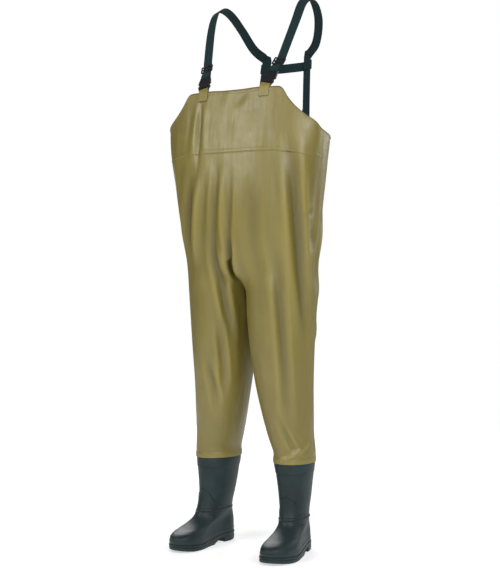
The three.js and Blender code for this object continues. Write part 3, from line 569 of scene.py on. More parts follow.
def trouser_surface():
    """The trousers' outer face: points, how far the welds stand out, each point's place at an edge, quads."""
    points, raised, edges, quads = [], [], [], []
    half = TORSO_COLUMNS // 2
    crotch = LEG_COLUMNS - half
    turns = column_turn(np.arange(TORSO_COLUMNS))
    tall = BIB_HEIGHT - SEAM_BASE
    seam = SEAM_SHARE + np.array(SEAM_ROWS) / tall
    rim = 1 - np.array(RIM_ROWS) / tall
    bib = np.unique(np.concatenate([np.linspace(0.03, 0.91, BIB_ROWS), seam, rim]))
    count = 0

    def add(ring, out=0.0, edge=FAR_FROM_EDGE):
        nonlocal count
        points.append(ring)
        raised.append(np.full(len(ring), out) if np.isscalar(out) else out)
        edges.append(np.full(len(ring), edge))
        count += len(ring)
        return np.arange(count - len(ring), count)

    rings = [add(torso_point(turns, z)) for z in np.linspace(FORK_HEIGHT, SEAM_BASE, BODY_ROWS)]
    front = smooth((90 - from_front(turns)) / 3)
    for rise in bib:
        top = rim_height(turns)
        z = mix(SEAM_BASE, top, rise)
        stretch = (top - SEAM_BASE) / tall
        out = chest_band((rise - SEAM_SHARE) * tall) * front * np.minimum(stretch * 3, 1)
        out = np.maximum(out, edge_bead((1 - rise) * tall)) if rise > 0.92 else out
        rings.append(add(torso_point(turns, z), out, -(1 - rise) * tall))
    quads.append(bands(rings))

    front_y, back_y = points[0][0][1], points[0][half][1]
    t = np.arange(1, crotch) / crotch
    arch = stack(0.0, mix(back_y, front_y, t), FORK_HEIGHT - FORK_DIP * np.sin(np.pi * t) ** 0.8)
    inner = add(arch)

    tall = FORK_HEIGHT - HEM_HEIGHT
    top_rise = LEG["rise"][-1]
    rises = np.unique(np.concatenate([np.array(HEM_ROWS) / tall, np.linspace(0.03, top_rise, LEG_ROWS)]))
    columns = np.arange(LEG_COLUMNS)
    body = turns[: half + 1]
    probe = 5.0
    above = (torso_point(body, FORK_HEIGHT + probe) - torso_point(body, FORK_HEIGHT)) / probe
    for side in SIDES.values():
        sign = np.array([side, 1, 1])
        rings = []
        for rise in rises:
            rings.append(add(leg_point(rise, columns) * sign, float(hem_band(rise * tall)), rise * tall))
        torso_ring = np.arange(TORSO_COLUMNS)
        outer = torso_ring[: half + 1] if side > 0 else torso_ring[(-np.arange(half + 1)) % TORSO_COLUMNS]
        top = np.concatenate([outer, inner])
        low = leg_point(top_rise, columns)
        low_slope = (low - leg_point(top_rise - 0.01, columns)) / 0.01 * (1 - top_rise)
        high = np.concatenate(points)[top] * sign
        high_slope = high - low
        high_slope[: half + 1] = above * (FORK_HEIGHT - low[: half + 1, 2])[:, None]
        for t in np.linspace(0, 1, FORK_ROWS)[1:-1]:
            rings.append(add(curve(t, low, low_slope, high, high_slope) * sign))
        rings.append(top)
        faces = bands(rings)
        quads.append(faces if side > 0 else faces[:, ::-1])
    return np.concatenate(points), np.concatenate(raised), np.concatenate(edges), np.concatenate(quads)


def hem_band(height):
    """How far the trousers' hem stands out, at a height over its lower edge."""
    bead = HEM_BEAD_OUT * np.sqrt(np.clip(1 - ((height - HEM_BEAD) / HEM_BEAD) ** 2, 0, 1))
    return WELT * smooth((HEM_BAND + 0.8 - height) / 1.6) + bead


def relax(points, quads, share, rounds):
    """Evens a surface out where share is over 0."""
    edges = np.concatenate([quads[:, [k, (k + 1) % 4]] for k in range(4)])
    edges = np.concatenate([edges, edges[:, ::-1]])
    count = np.bincount(edges[:, 0], minlength=len(points))[:, None]
    for _ in range(rounds):
        total = np.zeros_like(points)
        np.add.at(total, edges[:, 0], points[edges[:, 1]])
        points = points + (total / np.maximum(count, 1) - points) * share[:, None]
    return points


# The braces' lines


def bars_at():
    """Places and directions on the left brace that its pieces share."""
    at = {}
    at["front_turn"] = turn_at(FRONT_TAB_PLACE, BIB_HEIGHT, True)
    at["back_turn"] = turn_at(BACK_TAB_PLACE, mix(SEAM_BASE, BIB_HEIGHT, 0.4), False)
    for end in ("front", "back"):
        turn = at[f"{end}_turn"]
        at[f"{end}_edge"] = torso_point(turn, rim_height(turn))
    shoulder = stack(
        np.array(BRACE["across"]) * CHEST_WIDTH / 2,
        np.array(BRACE["back"]) * CHEST_DEPTH + ORIGIN_Y,
        np.array(BRACE["up"]) * BIB_HEIGHT,
    )
    at["crossing"] = shoulder[-1]
    at["rise"] = unit(shoulder[0] - at["front_edge"])
    at["drop"] = unit(shoulder[-1] - at["back_edge"])
    at["front_across"] = square(edge_direction(at["front_turn"]), at["rise"])
    at["back_across"] = square(-edge_direction(at["back_turn"]), at["drop"])
    at["shoulder"] = shoulder
    return at


def square(across, direction):
    return unit(across - direction * np.dot(across, direction))


def out_at(across, direction):
    return unit(np.cross(square(across, direction), direction))


def edge_direction(turn):
    """The direction of the top edge at a turn, on the level, towards the left."""
    top = rim_height(turn)
    direction = torso_point(turn + 1, top) - torso_point(turn - 1, top)
    direction[2] = 0
    return unit(direction) * np.sign(direction[0])


CAD_STEP = 45  # the CAD's webbing turns round a bar in flats of this many degrees
TURN_PLACES = 9


def turn_round(bar, out, reach, thickness):
    """Half a turn round a bar, from the outside to the inside."""
    radius = (math.hypot(BAR, BAR) / 2 + CLEARANCE + thickness / 2) / math.cos(math.radians(CAD_STEP / 2))
    angles = np.radians(np.linspace(0, 180, TURN_PLACES))
    return [bar + out * math.cos(a) * radius + reach * math.sin(a) * radius for a in angles]


# Distances along a brace from its tab's edge
SOCKET_START = HOOK_RISE - BAR / 2
PLUG_START = SOCKET_START + SOCKET_LENGTH + CLEARANCE
PLUG_END = PLUG_START + PLUG_LENGTH
SLIDER_START = PLUG_END + SLIDER_GAP
SLIDER_END = SLIDER_START + SLIDER_LENGTH
RING_END = HOOK_RISE - BAR / 2 + RING_HEIGHT
BEND_ROOM = 6.0  # from a bar to where the webbing lies flat again
RING_ROOM = 8.0
SLIDER_ROOM = 14.0
LOOSE_END = 1.5
SHOULDER_ACROSS = np.array([0.93, 0.1, -0.35])  # the webbing's widthwise direction on top of the shoulder
COURSE_PLACES = 61


def strap_path(at):
    """Places and widthwise directions along the left shoulder strap, from its loose end to its sewn end."""
    places, acrosses = [], []

    def push(place, across):
        places.append(place)
        acrosses.append(across)

    front_out = out_at(at["front_across"], at["rise"])
    behind = -(SLIDER_THICKNESS / 2 + CLEARANCE + WEBBING / 2)

    def front(distance, offset):
        push(at["front_edge"] + at["rise"] * distance + front_out * offset, at["front_across"])

    front(SLIDER_START - LOOSE_END, behind + WEBBING + CLEARANCE)
    front(PLUG_END + BEND_ROOM, BAR + CLEARANCE)
    bar = at["front_edge"] + at["rise"] * (PLUG_END - BAR / 2)
    for place in turn_round(bar, front_out, -at["rise"], WEBBING):
        push(place, at["front_across"])
    front(PLUG_END + BEND_ROOM, -BAR - CLEARANCE)
    front(SLIDER_START - LOOSE_END, behind)
    front(SLIDER_END + 1, behind)
    nodes = [
        at["front_edge"] + at["rise"] * (SLIDER_END + SLIDER_ROOM),
        *at["shoulder"][1:-1],
        at["crossing"] + at["drop"] * WEBBING_WIDTH,
    ]
    for t, place in zip(np.linspace(0, 1, COURSE_PLACES), spline(nodes, COURSE_PLACES)):
        across = mix(at["front_across"], SHOULDER_ACROSS, smooth(t / 0.5))
        push(place, mix(across, -at["back_across"], smooth(t / 0.5 - 1)))
    back_out = out_at(at["back_across"], at["drop"])

    def back(distance, offset):
        push(at["back_edge"] + at["drop"] * distance + back_out * offset, -at["back_across"])

    back(RING_END + STRAP_OVERLAP + BEND_ROOM, 0)
    back(RING_END + RING_ROOM, BAR)
    bar = at["back_edge"] + at["drop"] * (RING_END - BAR / 2)
    for place in turn_round(bar, back_out, -at["drop"], WEBBING):
        push(place, -at["back_across"])
    back(RING_END + RING_ROOM, -BAR)
    back(RING_END + STRAP_OVERLAP, -WEBBING - CLEARANCE)
    return np.array(places), np.array(acrosses)


def cross_path(at):
    """The cross strap's course, with its ends turned round the shoulder straps."""
    reach = -square(at["back_across"], at["drop"])
    out = out_at(at["back_across"], at["drop"])
    gap = WEBBING + CLEARANCE * 2
    half = WEBBING_WIDTH / 2 + CLEARANCE
    ends = (
        (half * -0.8, -gap),
        (half, -gap),
        (half + gap * 0.9, -gap * 0.45),
        (half + gap * 0.9, gap * 0.45),
        (half, gap),
        (-half, gap),
    )
    left = [at["crossing"] + reach * side + out * layer for side, layer in ends]
    flip = np.array([-1, 1, 1])
    places = left + [place * flip for place in reversed(left)]
    acrosses = [at["drop"]] * len(left) + [at["drop"] * flip] * len(left)
    return np.array(places), np.array(acrosses)


STRAP_ROWS = 12
ROUND_EDGE = np.radians([60, 30, 0, -30, -60])
END_ROWS = np.array([0.3, 1, 2, 3])  # rows close to a strip's ends, in millimetres


def ribbon(places, acrosses, width, thickness, spacing, rows=STRAP_ROWS, widths=None):
    """A soft-edged strip along a path. Gives points, faces, and each point's place along and across it."""
    length = np.linalg.norm(np.diff(places, axis=0), axis=1)
    keep = np.concatenate([[True], length > 0.05])
    places, acrosses = places[keep], acrosses[keep]
    run = np.sqrt(np.linalg.norm(np.diff(places, axis=0), axis=1))
    run = np.concatenate([[0], np.cumsum(run)])
    steps = np.unique(np.concatenate([np.linspace(a, b, 5) for a, b in zip(run[:-1], run[1:])]))
    table = {"run": run}
    for k, name in enumerate("xyz"):
        table[name] = places[:, k]
        table[f"across_{name}"] = acrosses[:, k]
    row = section(table, "run", steps)
    centre = stack(row["x"], row["y"], row["z"])
    across = stack(row["across_x"], row["across_y"], row["across_z"])
    distance = np.concatenate([[0], np.cumsum(np.linalg.norm(np.diff(centre, axis=0), axis=1))])
    even = np.linspace(0, distance[-1], max(int(distance[-1] / spacing), 4))
    even = np.unique(np.concatenate([even, END_ROWS, distance[-1] - END_ROWS]))
    centre = np.stack([np.interp(even, distance, centre[:, k]) for k in range(3)], axis=-1)
    across = np.stack([np.interp(even, distance, across[:, k]) for k in range(3)], axis=-1)
    tangent = unit(np.gradient(centre, axis=0))
    across = unit(across - tangent * (across * tangent).sum(1)[:, None])
    out = unit(np.cross(tangent, across))
    half = np.full(len(even), width / 2) if widths is None else widths(even, distance[-1]) / 2
    top, flat, end = np.linspace(1, -1, rows), np.ones(rows), np.ones(len(ROUND_EDGE))
    sides = np.concatenate([-top, end, top, -end])
    layers = np.concatenate([-flat, -np.sin(ROUND_EDGE), flat, np.sin(ROUND_EDGE)])
    edges = np.concatenate([0 * flat, np.cos(ROUND_EDGE), 0 * flat, -np.cos(ROUND_EDGE)])
    slim = thickness / 2
    reach = sides * (half[:, None] - slim) + edges * slim
    points = centre[:, None] + across[:, None] * reach[..., None]
    points = points + out[:, None] * (layers * slim)[None, :, None]
    n = points.shape[1]
    index = np.arange(len(even) * n).reshape(-1, n)
    faces = [tuple(f) for f in bands(index)] + [tuple(index[0][::-1]), tuple(index[-1])]
    measures = {"along": np.repeat(even, n), "across": reach.ravel()}
    return points.reshape(-1, 3), faces, measures


def rim_tab_path(turn, edge, lean, across):
    """A tab's course: up the outside of the top edge, round its loop, and down the inside."""
    top = rim_height(turn)
    outside = WELT + CLEARANCE + TAB_THICKNESS / 2
    bow = TAB_WIDTH**2 / (8 * CHEST_DEPTH * 0.4)
    inside = -(FABRIC + CLEARANCE * 3 + bow + TAB_THICKNESS / 2)

    def at(down, offset):
        return torso_point(turn, top - down) + torso_normal(turn, top - down) * offset

    bar = edge + lean * HOOK_RISE
    loop = turn_round(bar, out_at(across, lean), lean, TAB_THICKNESS)
    up = [at(TAB_DROP, outside), at(TAB_DROP * 0.75, outside), at(TAB_DROP / 2, outside), at(1, outside)]
    down = [at(1, inside), at(TAB_TAIL / 2, inside), at(TAB_TAIL, inside)]
    level = edge_direction(turn) * np.sign(across[0])
    acrosses = [level] * len(up) + [across] * len(loop) + [level] * len(down)
    return np.array(up + loop + down), np.array(acrosses)


WELD_SQUARE = 25.0
END_STITCHES = 9
SQUARE_STITCHES = 8
STITCH_LENGTH = 2.4
STITCH_RADIUS = 0.35
STITCH_MARGIN = 4.0
# One stitch, from end to end: place as a share of half its length, and girth as a share of its radius
STITCH = {"place": np.array([-1, -0.75, 0, 0.75, 1]), "girth": np.array([0.15, 0.8, 1, 0.8, 0.15])}


def stitch_row(start, end, normal, count):
    """A row of thread stitches that lie along a line on a strap's face."""
    run = unit(end - start)
    side = np.cross(normal, run)
    ends = STITCH["place"] * STITCH_LENGTH / 2
    girth = STITCH["girth"] * STITCH_RADIUS
    turns = np.radians(np.arange(0, 360, 60))
    circle = side * np.cos(turns)[:, None] + normal * np.sin(turns)[:, None]
    index = np.arange(len(ends) * len(turns)).reshape(len(ends), -1)
    faces = [tuple(f) for f in bands(index)] + [tuple(index[0][::-1]), tuple(index[-1])]
    stitches = []
    for t in (np.arange(count) + 0.5) / count:
        centre = mix(start, end, t) + normal * STITCH_RADIUS * 0.3
        points = centre + run * ends[:, None, None] + circle * girth[:, None, None]
        stitches.append((points.reshape(-1, 3), faces))
    return joined(stitches)


def joined(pieces):
    """Pieces put together: their points, and their faces counted on."""
    points, faces, first = [], [], 0
    for place, polygons in pieces:
        points.append(place)
        faces += [tuple(i + first for i in f) for f in polygons]
        first += len(place)
    return np.concatenate(points), faces


def strap_threads(strap, at):
    """The stitches on the left shoulder strap: its sewn back end, and the square at the crossing."""
    edge = len(ROUND_EDGE)
    points = strap[0].reshape(-1, 2 * (STRAP_ROWS + edge), 3)
    out = out_at(at["back_across"], at["drop"])
    rows = []
    for distance in (RING_END + STRAP_OVERLAP - STITCH_MARGIN, RING_END + RING_ROOM + STITCH_MARGIN):
        near = at["back_edge"] + at["drop"] * distance + out * BAR
        row = points[np.argmin(np.linalg.norm(points.mean(1) - near, axis=1))]
        outward = np.dot(row[0] - row[-edge - 1], out) > 0
        face = row[:STRAP_ROWS] if outward else row[STRAP_ROWS + edge : -edge]
        inset = 0.08
        ends = mix(face[0], face[-1], inset), mix(face[-1], face[0], inset)
        rows.append(stitch_row(*ends, out, END_STITCHES))
    reach = square(at["back_across"], at["drop"])
    middle = at["crossing"] + out * (WEBBING * 1.5 + CLEARANCE * 2)
    half = WEBBING_WIDTH / 2 - STITCH_MARGIN
    places = ((-1, -1), (1, -1), (1, 1), (-1, 1))
    corners = [middle + reach * a * half + at["drop"] * b * half for a, b in places]
    for k, corner in enumerate(corners):
        rows.append(stitch_row(corner, corners[(k + 1) % 4], out, SQUARE_STITCHES))
    return joined(rows)


TAB_ENDS = {"front": (3.0, 0.0), "back": (7.0, 9.0)}  # corner radius, and how much wider the end is


def tab_outline(end):
    """A tab's width at each distance from its outer end, with round corners there."""
    corner, wider = TAB_ENDS[end]

    def widths(distance, total):
        wide = TAB_WIDTH + wider * (1 - smooth((distance - TAB_DROP + 6) / 6))
        cut = corner - np.sqrt(np.clip(corner**2 - np.clip(corner - distance, 0, corner) ** 2, 0, None))
        return wide - 2 * cut

    return widths


# Folds and seams

FACE_DIRECTIONS = {
    "front": np.array((0.0, -1.0, 0.0)),
    "back": np.array((0.0, 1.0, 0.0)),
    "left": np.array((1.0, 0.0, 0.0)),
    "right": np.array((-1.0, 0.0, 0.0)),
}
RIPPLES = 14
RIPPLE_LENGTH = (45, 120)
RIPPLE_HEIGHT = (350, 900)
RIPPLE_DEPTH = 0.28
SEAM_REACH = 30.0
OFF_SEAM = 40.0
SEAM_END = 0.04


def curve_on(points, normals, fold):
    """A fold's course over the surface."""
    direction = FACE_DIRECTIONS[fold.face]
    across = 0 if fold.face in ("front", "back") else 1
    near = points[normals @ direction > 0.15]
    nodes = []
    for place, height in fold.path:
        distance = (near[:, across] - place) ** 2 + (near[:, 2] - height) ** 2
        best = np.argsort(distance)[:4]
        weight = 1 / (distance[best] + 1)
        nodes.append((near[best] * weight[:, None]).sum(0) / weight.sum())
    length = np.linalg.norm(np.diff(nodes, axis=0), axis=1).sum()
    return spline(nodes, max(int(length / 4), 8))


def near_curve(points, course, reach):
    """The points within reach of a course, with their nearest step, share along it and distance."""
    close = ((points > course.min(0) - reach) & (points < course.max(0) + reach)).all(1)
    inside = np.flatnonzero(close)
    nearest = np.linalg.norm(points[inside, None] - course[None], axis=2).argmin(1)
    away = points[inside] - course[nearest]
    step = np.gradient(course, axis=0)[nearest]
    forward = (away * step).sum(1) / (step * step).sum(1)
    middle = (nearest > 0) & (nearest < len(course) - 1)
    distance = np.linalg.norm(away - step * np.where(middle, forward, 0)[:, None], axis=1)
    return inside, nearest, np.clip((nearest + forward) / (len(course) - 1), 0, 1), distance


def fold_depths(points, normals):
    """How far the folds move each point out."""
    move = np.zeros(len(points))
    for fold in FOLDS:
        course = curve_on(points, normals, fold)
        inside, _, t, distance = near_curve(points, course, fold.width * 3.5)
        q = distance / fold.width
        shape = np.exp(-(q**2)) - FOLD_SHOULDER * np.exp(-(((q - 1.9) / 0.8) ** 2))
        ends = smooth(t / FOLD_END) * smooth((1 - t) / FOLD_END)
        facing = smooth(normals[inside] @ FACE_DIRECTIONS[fold.face] * 2 + 0.6)
        move[inside] -= FOLD_STRENGTH * fold.depth * shape * ends * facing
    return move


def hang_ripples(points):
    """Slow upright waves of hanging fabric, the same on each run."""
    draw = np.random.default_rng(7)
    total = np.zeros(len(points))
    for _ in range(RIPPLES):
        angle = draw.uniform(0, math.pi)
        flat = 2 * math.pi / draw.uniform(*RIPPLE_LENGTH)
        upright = 2 * math.pi / draw.uniform(*RIPPLE_HEIGHT) * draw.choice([-1, 1])
        wave = np.array([math.cos(angle) * flat, math.sin(angle) * flat, upright])
        total += np.sin(points @ wave + draw.uniform(0, 2 * math.pi))
    return total * RIPPLE_DEPTH


def seam_measures(points, normals):
    """For each seam, the distance to its one side or the other, and how near it is."""
    out = {}
    for name, seam in SEAMS.items():
        course = curve_on(points, normals, seam)
        inside, nearest, t, distance = near_curve(points, course, SEAM_REACH)
        tangent = unit(np.gradient(course, axis=0))[nearest]
        side = np.cross(normals[inside], tangent)
        offset = np.full(len(points), OFF_SEAM)
        offset[inside] = ((points[inside] - course[nearest]) * side).sum(1)
        near = np.zeros(len(points))
        facing = normals[inside] @ FACE_DIRECTIONS[seam.face] > -0.2
        ends = smooth(t / SEAM_END) * smooth((1 - t) / SEAM_END)
        near[inside] = np.clip(1.4 - distance / 20, 0, 1) * ends * facing
        out[f"{name}_side"] = offset
        out[f"{name}_near"] = near
    return out


# Materials


class Finish:
    """A material in the making. Its methods add nodes and give the socket of what they work out."""

    def __init__(self, name, colour, roughness, **settings):
        self.material = bpy.data.materials.new(name)
        self.material.use_nodes = True
        self.colour = colour
        self.shader = self.material.node_tree.nodes["Principled BSDF"]
        self.set(Base_Color=colour, Roughness=roughness, **settings)
        self.place = self.add("ShaderNodeTexCoord").outputs["Object"]

    def feed(self, socket, value):
        """Gives a socket another socket's value, a number, or a colour."""
        if isinstance(value, bpy.types.NodeSocket):
            self.material.node_tree.links.new(value, socket)
        elif isinstance(value, tuple):
            socket.default_value = (*value, 1)[: len(socket.default_value)]
        else:
            socket.default_value = value

    def add(self, kind, **inputs):
        made = self.material.node_tree.nodes.new(kind)
        for name, value in inputs.items():
            self.feed(made.inputs[name.replace("_", " ")], value)
        return made

    def set(self, **inputs):
        for name, value in inputs.items():
            self.feed(self.shader.inputs[name.replace("_", " ")], value)

    def attribute(self, name):
        made = self.add("ShaderNodeAttribute")
        made.attribute_name = name
        return made.outputs["Fac"]

    def noise(self, scale, detail=4.0, rough=0.6, stretch=None):
        """Noise of so many grains per metre, drawn out along the axes whose stretch is under 1."""
        place = self.place
        if stretch:
            place = self.add("ShaderNodeMapping", Vector=place, Scale=stretch).outputs["Vector"]
        made = self.add("ShaderNodeTexNoise", Vector=place, Scale=scale, Detail=detail, Roughness=rough)
        return made.outputs["Fac"]

    def ramp(self, value, low, high):
        """A value stretched so that low becomes 0 and high becomes 1."""
        return self.add("ShaderNodeMapRange", Value=value, From_Min=low, From_Max=high).outputs["Result"]

    def maths(self, operation, *values):
        made = self.add("ShaderNodeMath")
        made.operation = operation
        for socket, value in zip(made.inputs, values):
            self.feed(socket, value)
        return made.outputs[0]

    def both(self, first, second):
        return self.maths("MULTIPLY", first, second)

    def scaled(self, value, scale, start):
        return self.maths("ADD", self.maths("MULTIPLY", value, scale), start)

    def line(self, distance, half, core):
        """1 within core of a line, 0 from half away from it."""
        return self.ramp(self.maths("ABSOLUTE", distance), half, core)

    def blend(self, share, first, second):
        """From the first colour to the second, by share. A number is a tint of the finish's own colour."""
        made = self.add("ShaderNodeMix")
        made.data_type = "RGBA"
        for slot, value in zip(COLOUR_SLOTS, (share, first, second)):
            tint = isinstance(value, float)
            self.feed(made.inputs[slot], tuple(c * value for c in self.colour) if tint else value)
        return made.outputs[2]

    def bump(self, *heights):
        """Bumps laid over each other: (height socket, strength, distance in metres)."""
        last = None
        for height, strength, distance in heights:
            made = self.add("ShaderNodeBump", Height=height, Strength=strength, Distance=distance)
            if last is not None:
                self.feed(made.inputs["Normal"], last)
            last = made.outputs["Normal"]
        self.set(Normal=last)


COLOUR_SLOTS = (0, 6, 7)  # the share and the two colours among a colour mix's inputs
FABRIC_GRAIN = 1100.0
GRAIN_DEPTH = 0.0002
# Half widths on the coated fabric, in millimetres
SEAM_LINE, SEAM_WELD = 1.8, 8.0


def coated_fabric(colour):
    cloth = Finish(
        "olive coated fabric", colour, 0.42, Specular_IOR_Level=0.72, Coat_Weight=0.06, Coat_Roughness=0.3
    )
    ripple = cloth.noise(30.0, 3.0)
    streaks = cloth.noise(46.0, 1.5, 0.45, stretch=(1.0, 1.0, 0.1))
    fold, edge = cloth.attribute("fold"), cloth.attribute("edge")
    shade = cloth.blend(cloth.ramp(cloth.noise(4.0, 3.0), 0.35, 0.65), 0.88, 1.1)
    # Painted shade: the colour darkens to 0.58 of itself in the folds' troughs, fully at 11 millimetres deep.
    shade = cloth.blend(cloth.ramp(fold, -1.0, -11.0), shade, 0.58)
    # Painted highlight: the colour lightens to 1.3 times itself on the folds' crests, fully where the fabric
    # stands 5 millimetres out.
    shade = cloth.blend(cloth.ramp(fold, 0.0, 5.0), shade, 1.3)
    seams = []
    for half in (SEAM_LINE, SEAM_WELD):
        lines = []
        for name in SEAMS:
            line = cloth.line(cloth.attribute(f"{name}_side"), half, half * 0.4)
            lines.append(cloth.both(line, cloth.attribute(f"{name}_near")))
        seams.append(cloth.maths("MAXIMUM", *lines))
    line, weld = seams
    # Painted shade: the colour halves along the rolled top edge, within 3.6 to 4.6 millimetres of it.
    painted_rim_shade = cloth.both(cloth.ramp(edge, -4.6, -3.6), cloth.ramp(edge, 0.5, 0.0))
    at_hem = cloth.both(cloth.ramp(edge, -0.5, 0.0), cloth.ramp(edge, 11.5, 10.0))
    for share, tint in ((line, 0.45), (painted_rim_shade, 0.5), (at_hem, 1.12)):
        shade = cloth.blend(share, shade, tint)
    cloth.set(Base_Color=shade, Roughness=cloth.scaled(cloth.ramp(ripple, 0.3, 0.7), 0.1, 0.43))
    raised = cloth.maths("SUBTRACT", cloth.maths("MULTIPLY", weld, 0.6), line)
    grain = cloth.noise(FABRIC_GRAIN, 2.0)
    waves = (streaks, 0.6, 0.0035), (ripple, 0.22, 0.002)
    cloth.bump((raised, 0.8, 0.0008), *waves, (grain, 0.2, GRAIN_DEPTH))
    return cloth.material


def tab_fabric(colour):
    """The coated fabric of the tabs, with a welded square."""
    tab = Finish("tab fabric", colour, 0.45)
    weld = tab.line(tab.attribute("weld"), 1.5, 0.5)
    tab.set(Base_Color=tab.blend(weld, tab.blend(tab.noise(60.0, 3.0), 0.95, 1.3), 0.45))
    tab.bump((weld, -1.0, 0.0012), (tab.noise(FABRIC_GRAIN, 2.0), 0.2, GRAIN_DEPTH))
    return tab.material


# The tape down the lining's front, in metres
TAPE_HALF = 0.0105
TAPE_STITCH = 0.0095


def lining(colour):
    inside = Finish("glossy lining", colour, 0.3, Coat_Weight=0.6, Coat_Roughness=0.14)
    waves = inside.noise(26.0, 0.5, 0.3, stretch=(1.0, 0.6, 0.14))
    axes = inside.add("ShaderNodeSeparateXYZ", Vector=inside.place)
    in_front = inside.ramp(axes.outputs["Y"], 0.0, -0.01)
    aside = inside.maths("ABSOLUTE", axes.outputs["X"])
    tape = inside.both(inside.ramp(aside, TAPE_HALF, TAPE_STITCH), in_front)
    from_stitch = inside.maths("SUBTRACT", aside, TAPE_STITCH)
    stitch = inside.both(inside.line(from_stitch, 0.0012, 0.0004), in_front)
    inside.set(Base_Color=inside.blend(stitch, inside.blend(inside.noise(6.0, 3.0), 0.6, 1.3), 0.4))
    inside.bump((waves, 0.8, 0.018), (tape, 1.0, 0.0008), (inside.noise(500.0, 1.0), 0.1, GRAIN_DEPTH))
    return inside.material


def boot_rubber(colour):
    rubber = Finish("boot rubber", colour, 0.45, Specular_IOR_Level=0.28)
    cloud = rubber.noise(14.0, 5.0)
    shade = rubber.blend(rubber.ramp(cloud, 0.35, 0.7), 0.75, 1.3)
    rubber.set(Base_Color=shade, Roughness=rubber.scaled(cloud, 0.15, 0.42))
    lines = rubber.line(rubber.attribute("panel"), 1.7, 0.2)
    for height in SHAFT_LINES:
        off = rubber.maths("SUBTRACT", rubber.attribute("height"), height)
        lines = rubber.maths("MAXIMUM", lines, rubber.line(off, 1.5, 0.2))
    lines = rubber.both(lines, rubber.attribute("shaft"))
    rubber.bump((lines, 1.0, 0.0011), (rubber.noise(700.0, 2.0), 0.2, GRAIN_DEPTH))
    return rubber.material


# The webbing's weave, in millimetres
WEFT_SPACING = 2.0
CORD_SPACING = 2.3


def webbing_cloth(colour):
    webbing = Finish("woven webbing", colour, 0.8, Sheen_Weight=0.05, Specular_IOR_Level=0.25)
    waves = []
    for name, spacing in (("along", WEFT_SPACING), ("across", CORD_SPACING)):
        turn = webbing.maths("MULTIPLY", webbing.attribute(name), 2 * math.pi / spacing)
        waves.append(webbing.maths("SINE", turn))
    weave = webbing.both(*waves)
    webbing.set(Base_Color=webbing.blend(webbing.ramp(weave, -0.8, 0.8), 0.6, 1.5))
    webbing.bump((weave, 0.5, 0.0004))
    return webbing.material


def thread(colour):
    twine = Finish("thread", colour, 0.6)
    twist = twine.noise(2500.0, 1.0)
    twine.set(Base_Color=twine.blend(twist, 0.7, 1.0))
    twine.bump((twist, 0.4, GRAIN_DEPTH))
    return twine.material


def black_plastic(colour):
    plastic = Finish("black plastic", colour, 0.35)
    plastic.set(Roughness=plastic.scaled(plastic.noise(60.0), 0.2, 0.25))
    plastic.bump((plastic.noise(1200.0, 2.0), 0.15, GRAIN_DEPTH))
    return plastic.material


def felt(colour):
    insole = Finish("insole felt", colour, 0.95)
    fibre = insole.noise(500.0, 6.0)
    insole.set(Base_Color=insole.blend(fibre, 1.0, 1.4))
    insole.bump((fibre, 0.6, 0.0006))
    return insole.material


def floor_paper():
    white = (1.0, 1.0, 1.0)
    paper = Finish("studio paper", white, 0.9, Emission_Color=white, Emission_Strength=0.55)
    paper.set(Base_Color=paper.blend(paper.noise(40.0), 0.6, 0.64))
    return paper.material


# Properties


class WaderColours(bpy.types.PropertyGroup):
    fabric: FloatVectorProperty(
        name="Fabric", description="Colour of the fabric", subtype="COLOR", default=(0.177, 0.142, 0.026)
    )
    inside: FloatVectorProperty(
        name="Inside", description="Colour of the lining", subtype="COLOR", default=(0.15, 0.132, 0.042)
    )
    rubber: FloatVectorProperty(
        name="Rubber", description="Colour of the boots", subtype="COLOR", default=(0.014, 0.026, 0.028)
    )
    webbing: FloatVectorProperty(
        name="Webbing", description="Colour of the braces", subtype="COLOR", default=(0.004, 0.019, 0.022)
    )
    plastic: FloatVectorProperty(
        name="Plastic", description="Colour of the buckles", subtype="COLOR", default=(0.01, 0.01, 0.013)
    )
    insole: FloatVectorProperty(
        name="Insole", description="Colour of the insoles", subtype="COLOR", default=(0.12, 0.12, 0.11)
    )


class WaderStage(bpy.types.PropertyGroup):
    azimuth: FloatProperty(
        name="Azimuth", description="Camera, to the left", default=math.radians(30), unit="ROTATION"
    )
    distance: FloatProperty(name="Distance", description="Camera to the wader", default=3.5, unit="LENGTH")
    eye: FloatProperty(name="Eye height", description="Height of the camera", default=0.8, unit="LENGTH")
    ambient: FloatProperty(name="Ambient", description="Light from all around", default=0.13)
    lens: FloatProperty(name="Lens", description="Focal length in millimetres", default=72.5)
    floor: FloatProperty(name="Floor", description="Radius of the floor", default=3.0, unit="LENGTH")


def material_of(finish):
    """The wader's material for a finish, made once."""
    colours = bpy.context.scene.wader_colours
    makers = {
        "fabric": lambda: coated_fabric(tuple(colours.fabric)),
        "inside": lambda: lining(tuple(colours.inside)),
        "tab": lambda: tab_fabric(tuple(colours.fabric)),
        "rubber": lambda: boot_rubber(tuple(colours.rubber)),
        "webbing": lambda: webbing_cloth(tuple(colours.webbing)),
        "thread": lambda: thread(tuple(c * 1.6 for c in colours.webbing)),
        "plastic": lambda: black_plastic(tuple(colours.plastic)),
        "insole": lambda: felt(tuple(colours.insole)),
    }
    if finish not in MATERIALS:
        MATERIALS[finish] = makers[finish]()
    return MATERIALS[finish]


MATERIALS = {}


# Pieces

SAME_POINT = 0.02
SHARP_SOLID, SHARP_STRAP = 32, 50  # angles from which an edge counts as sharp


def dress_node(name, finish, bevel=0.0):
    """A CAD node kept as it is, with its finish and softened edges."""
    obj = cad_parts[name]
    obj.data.materials.clear()
    obj.data.materials.append(material_of(finish))
    if bevel:
        soften(obj, bevel)


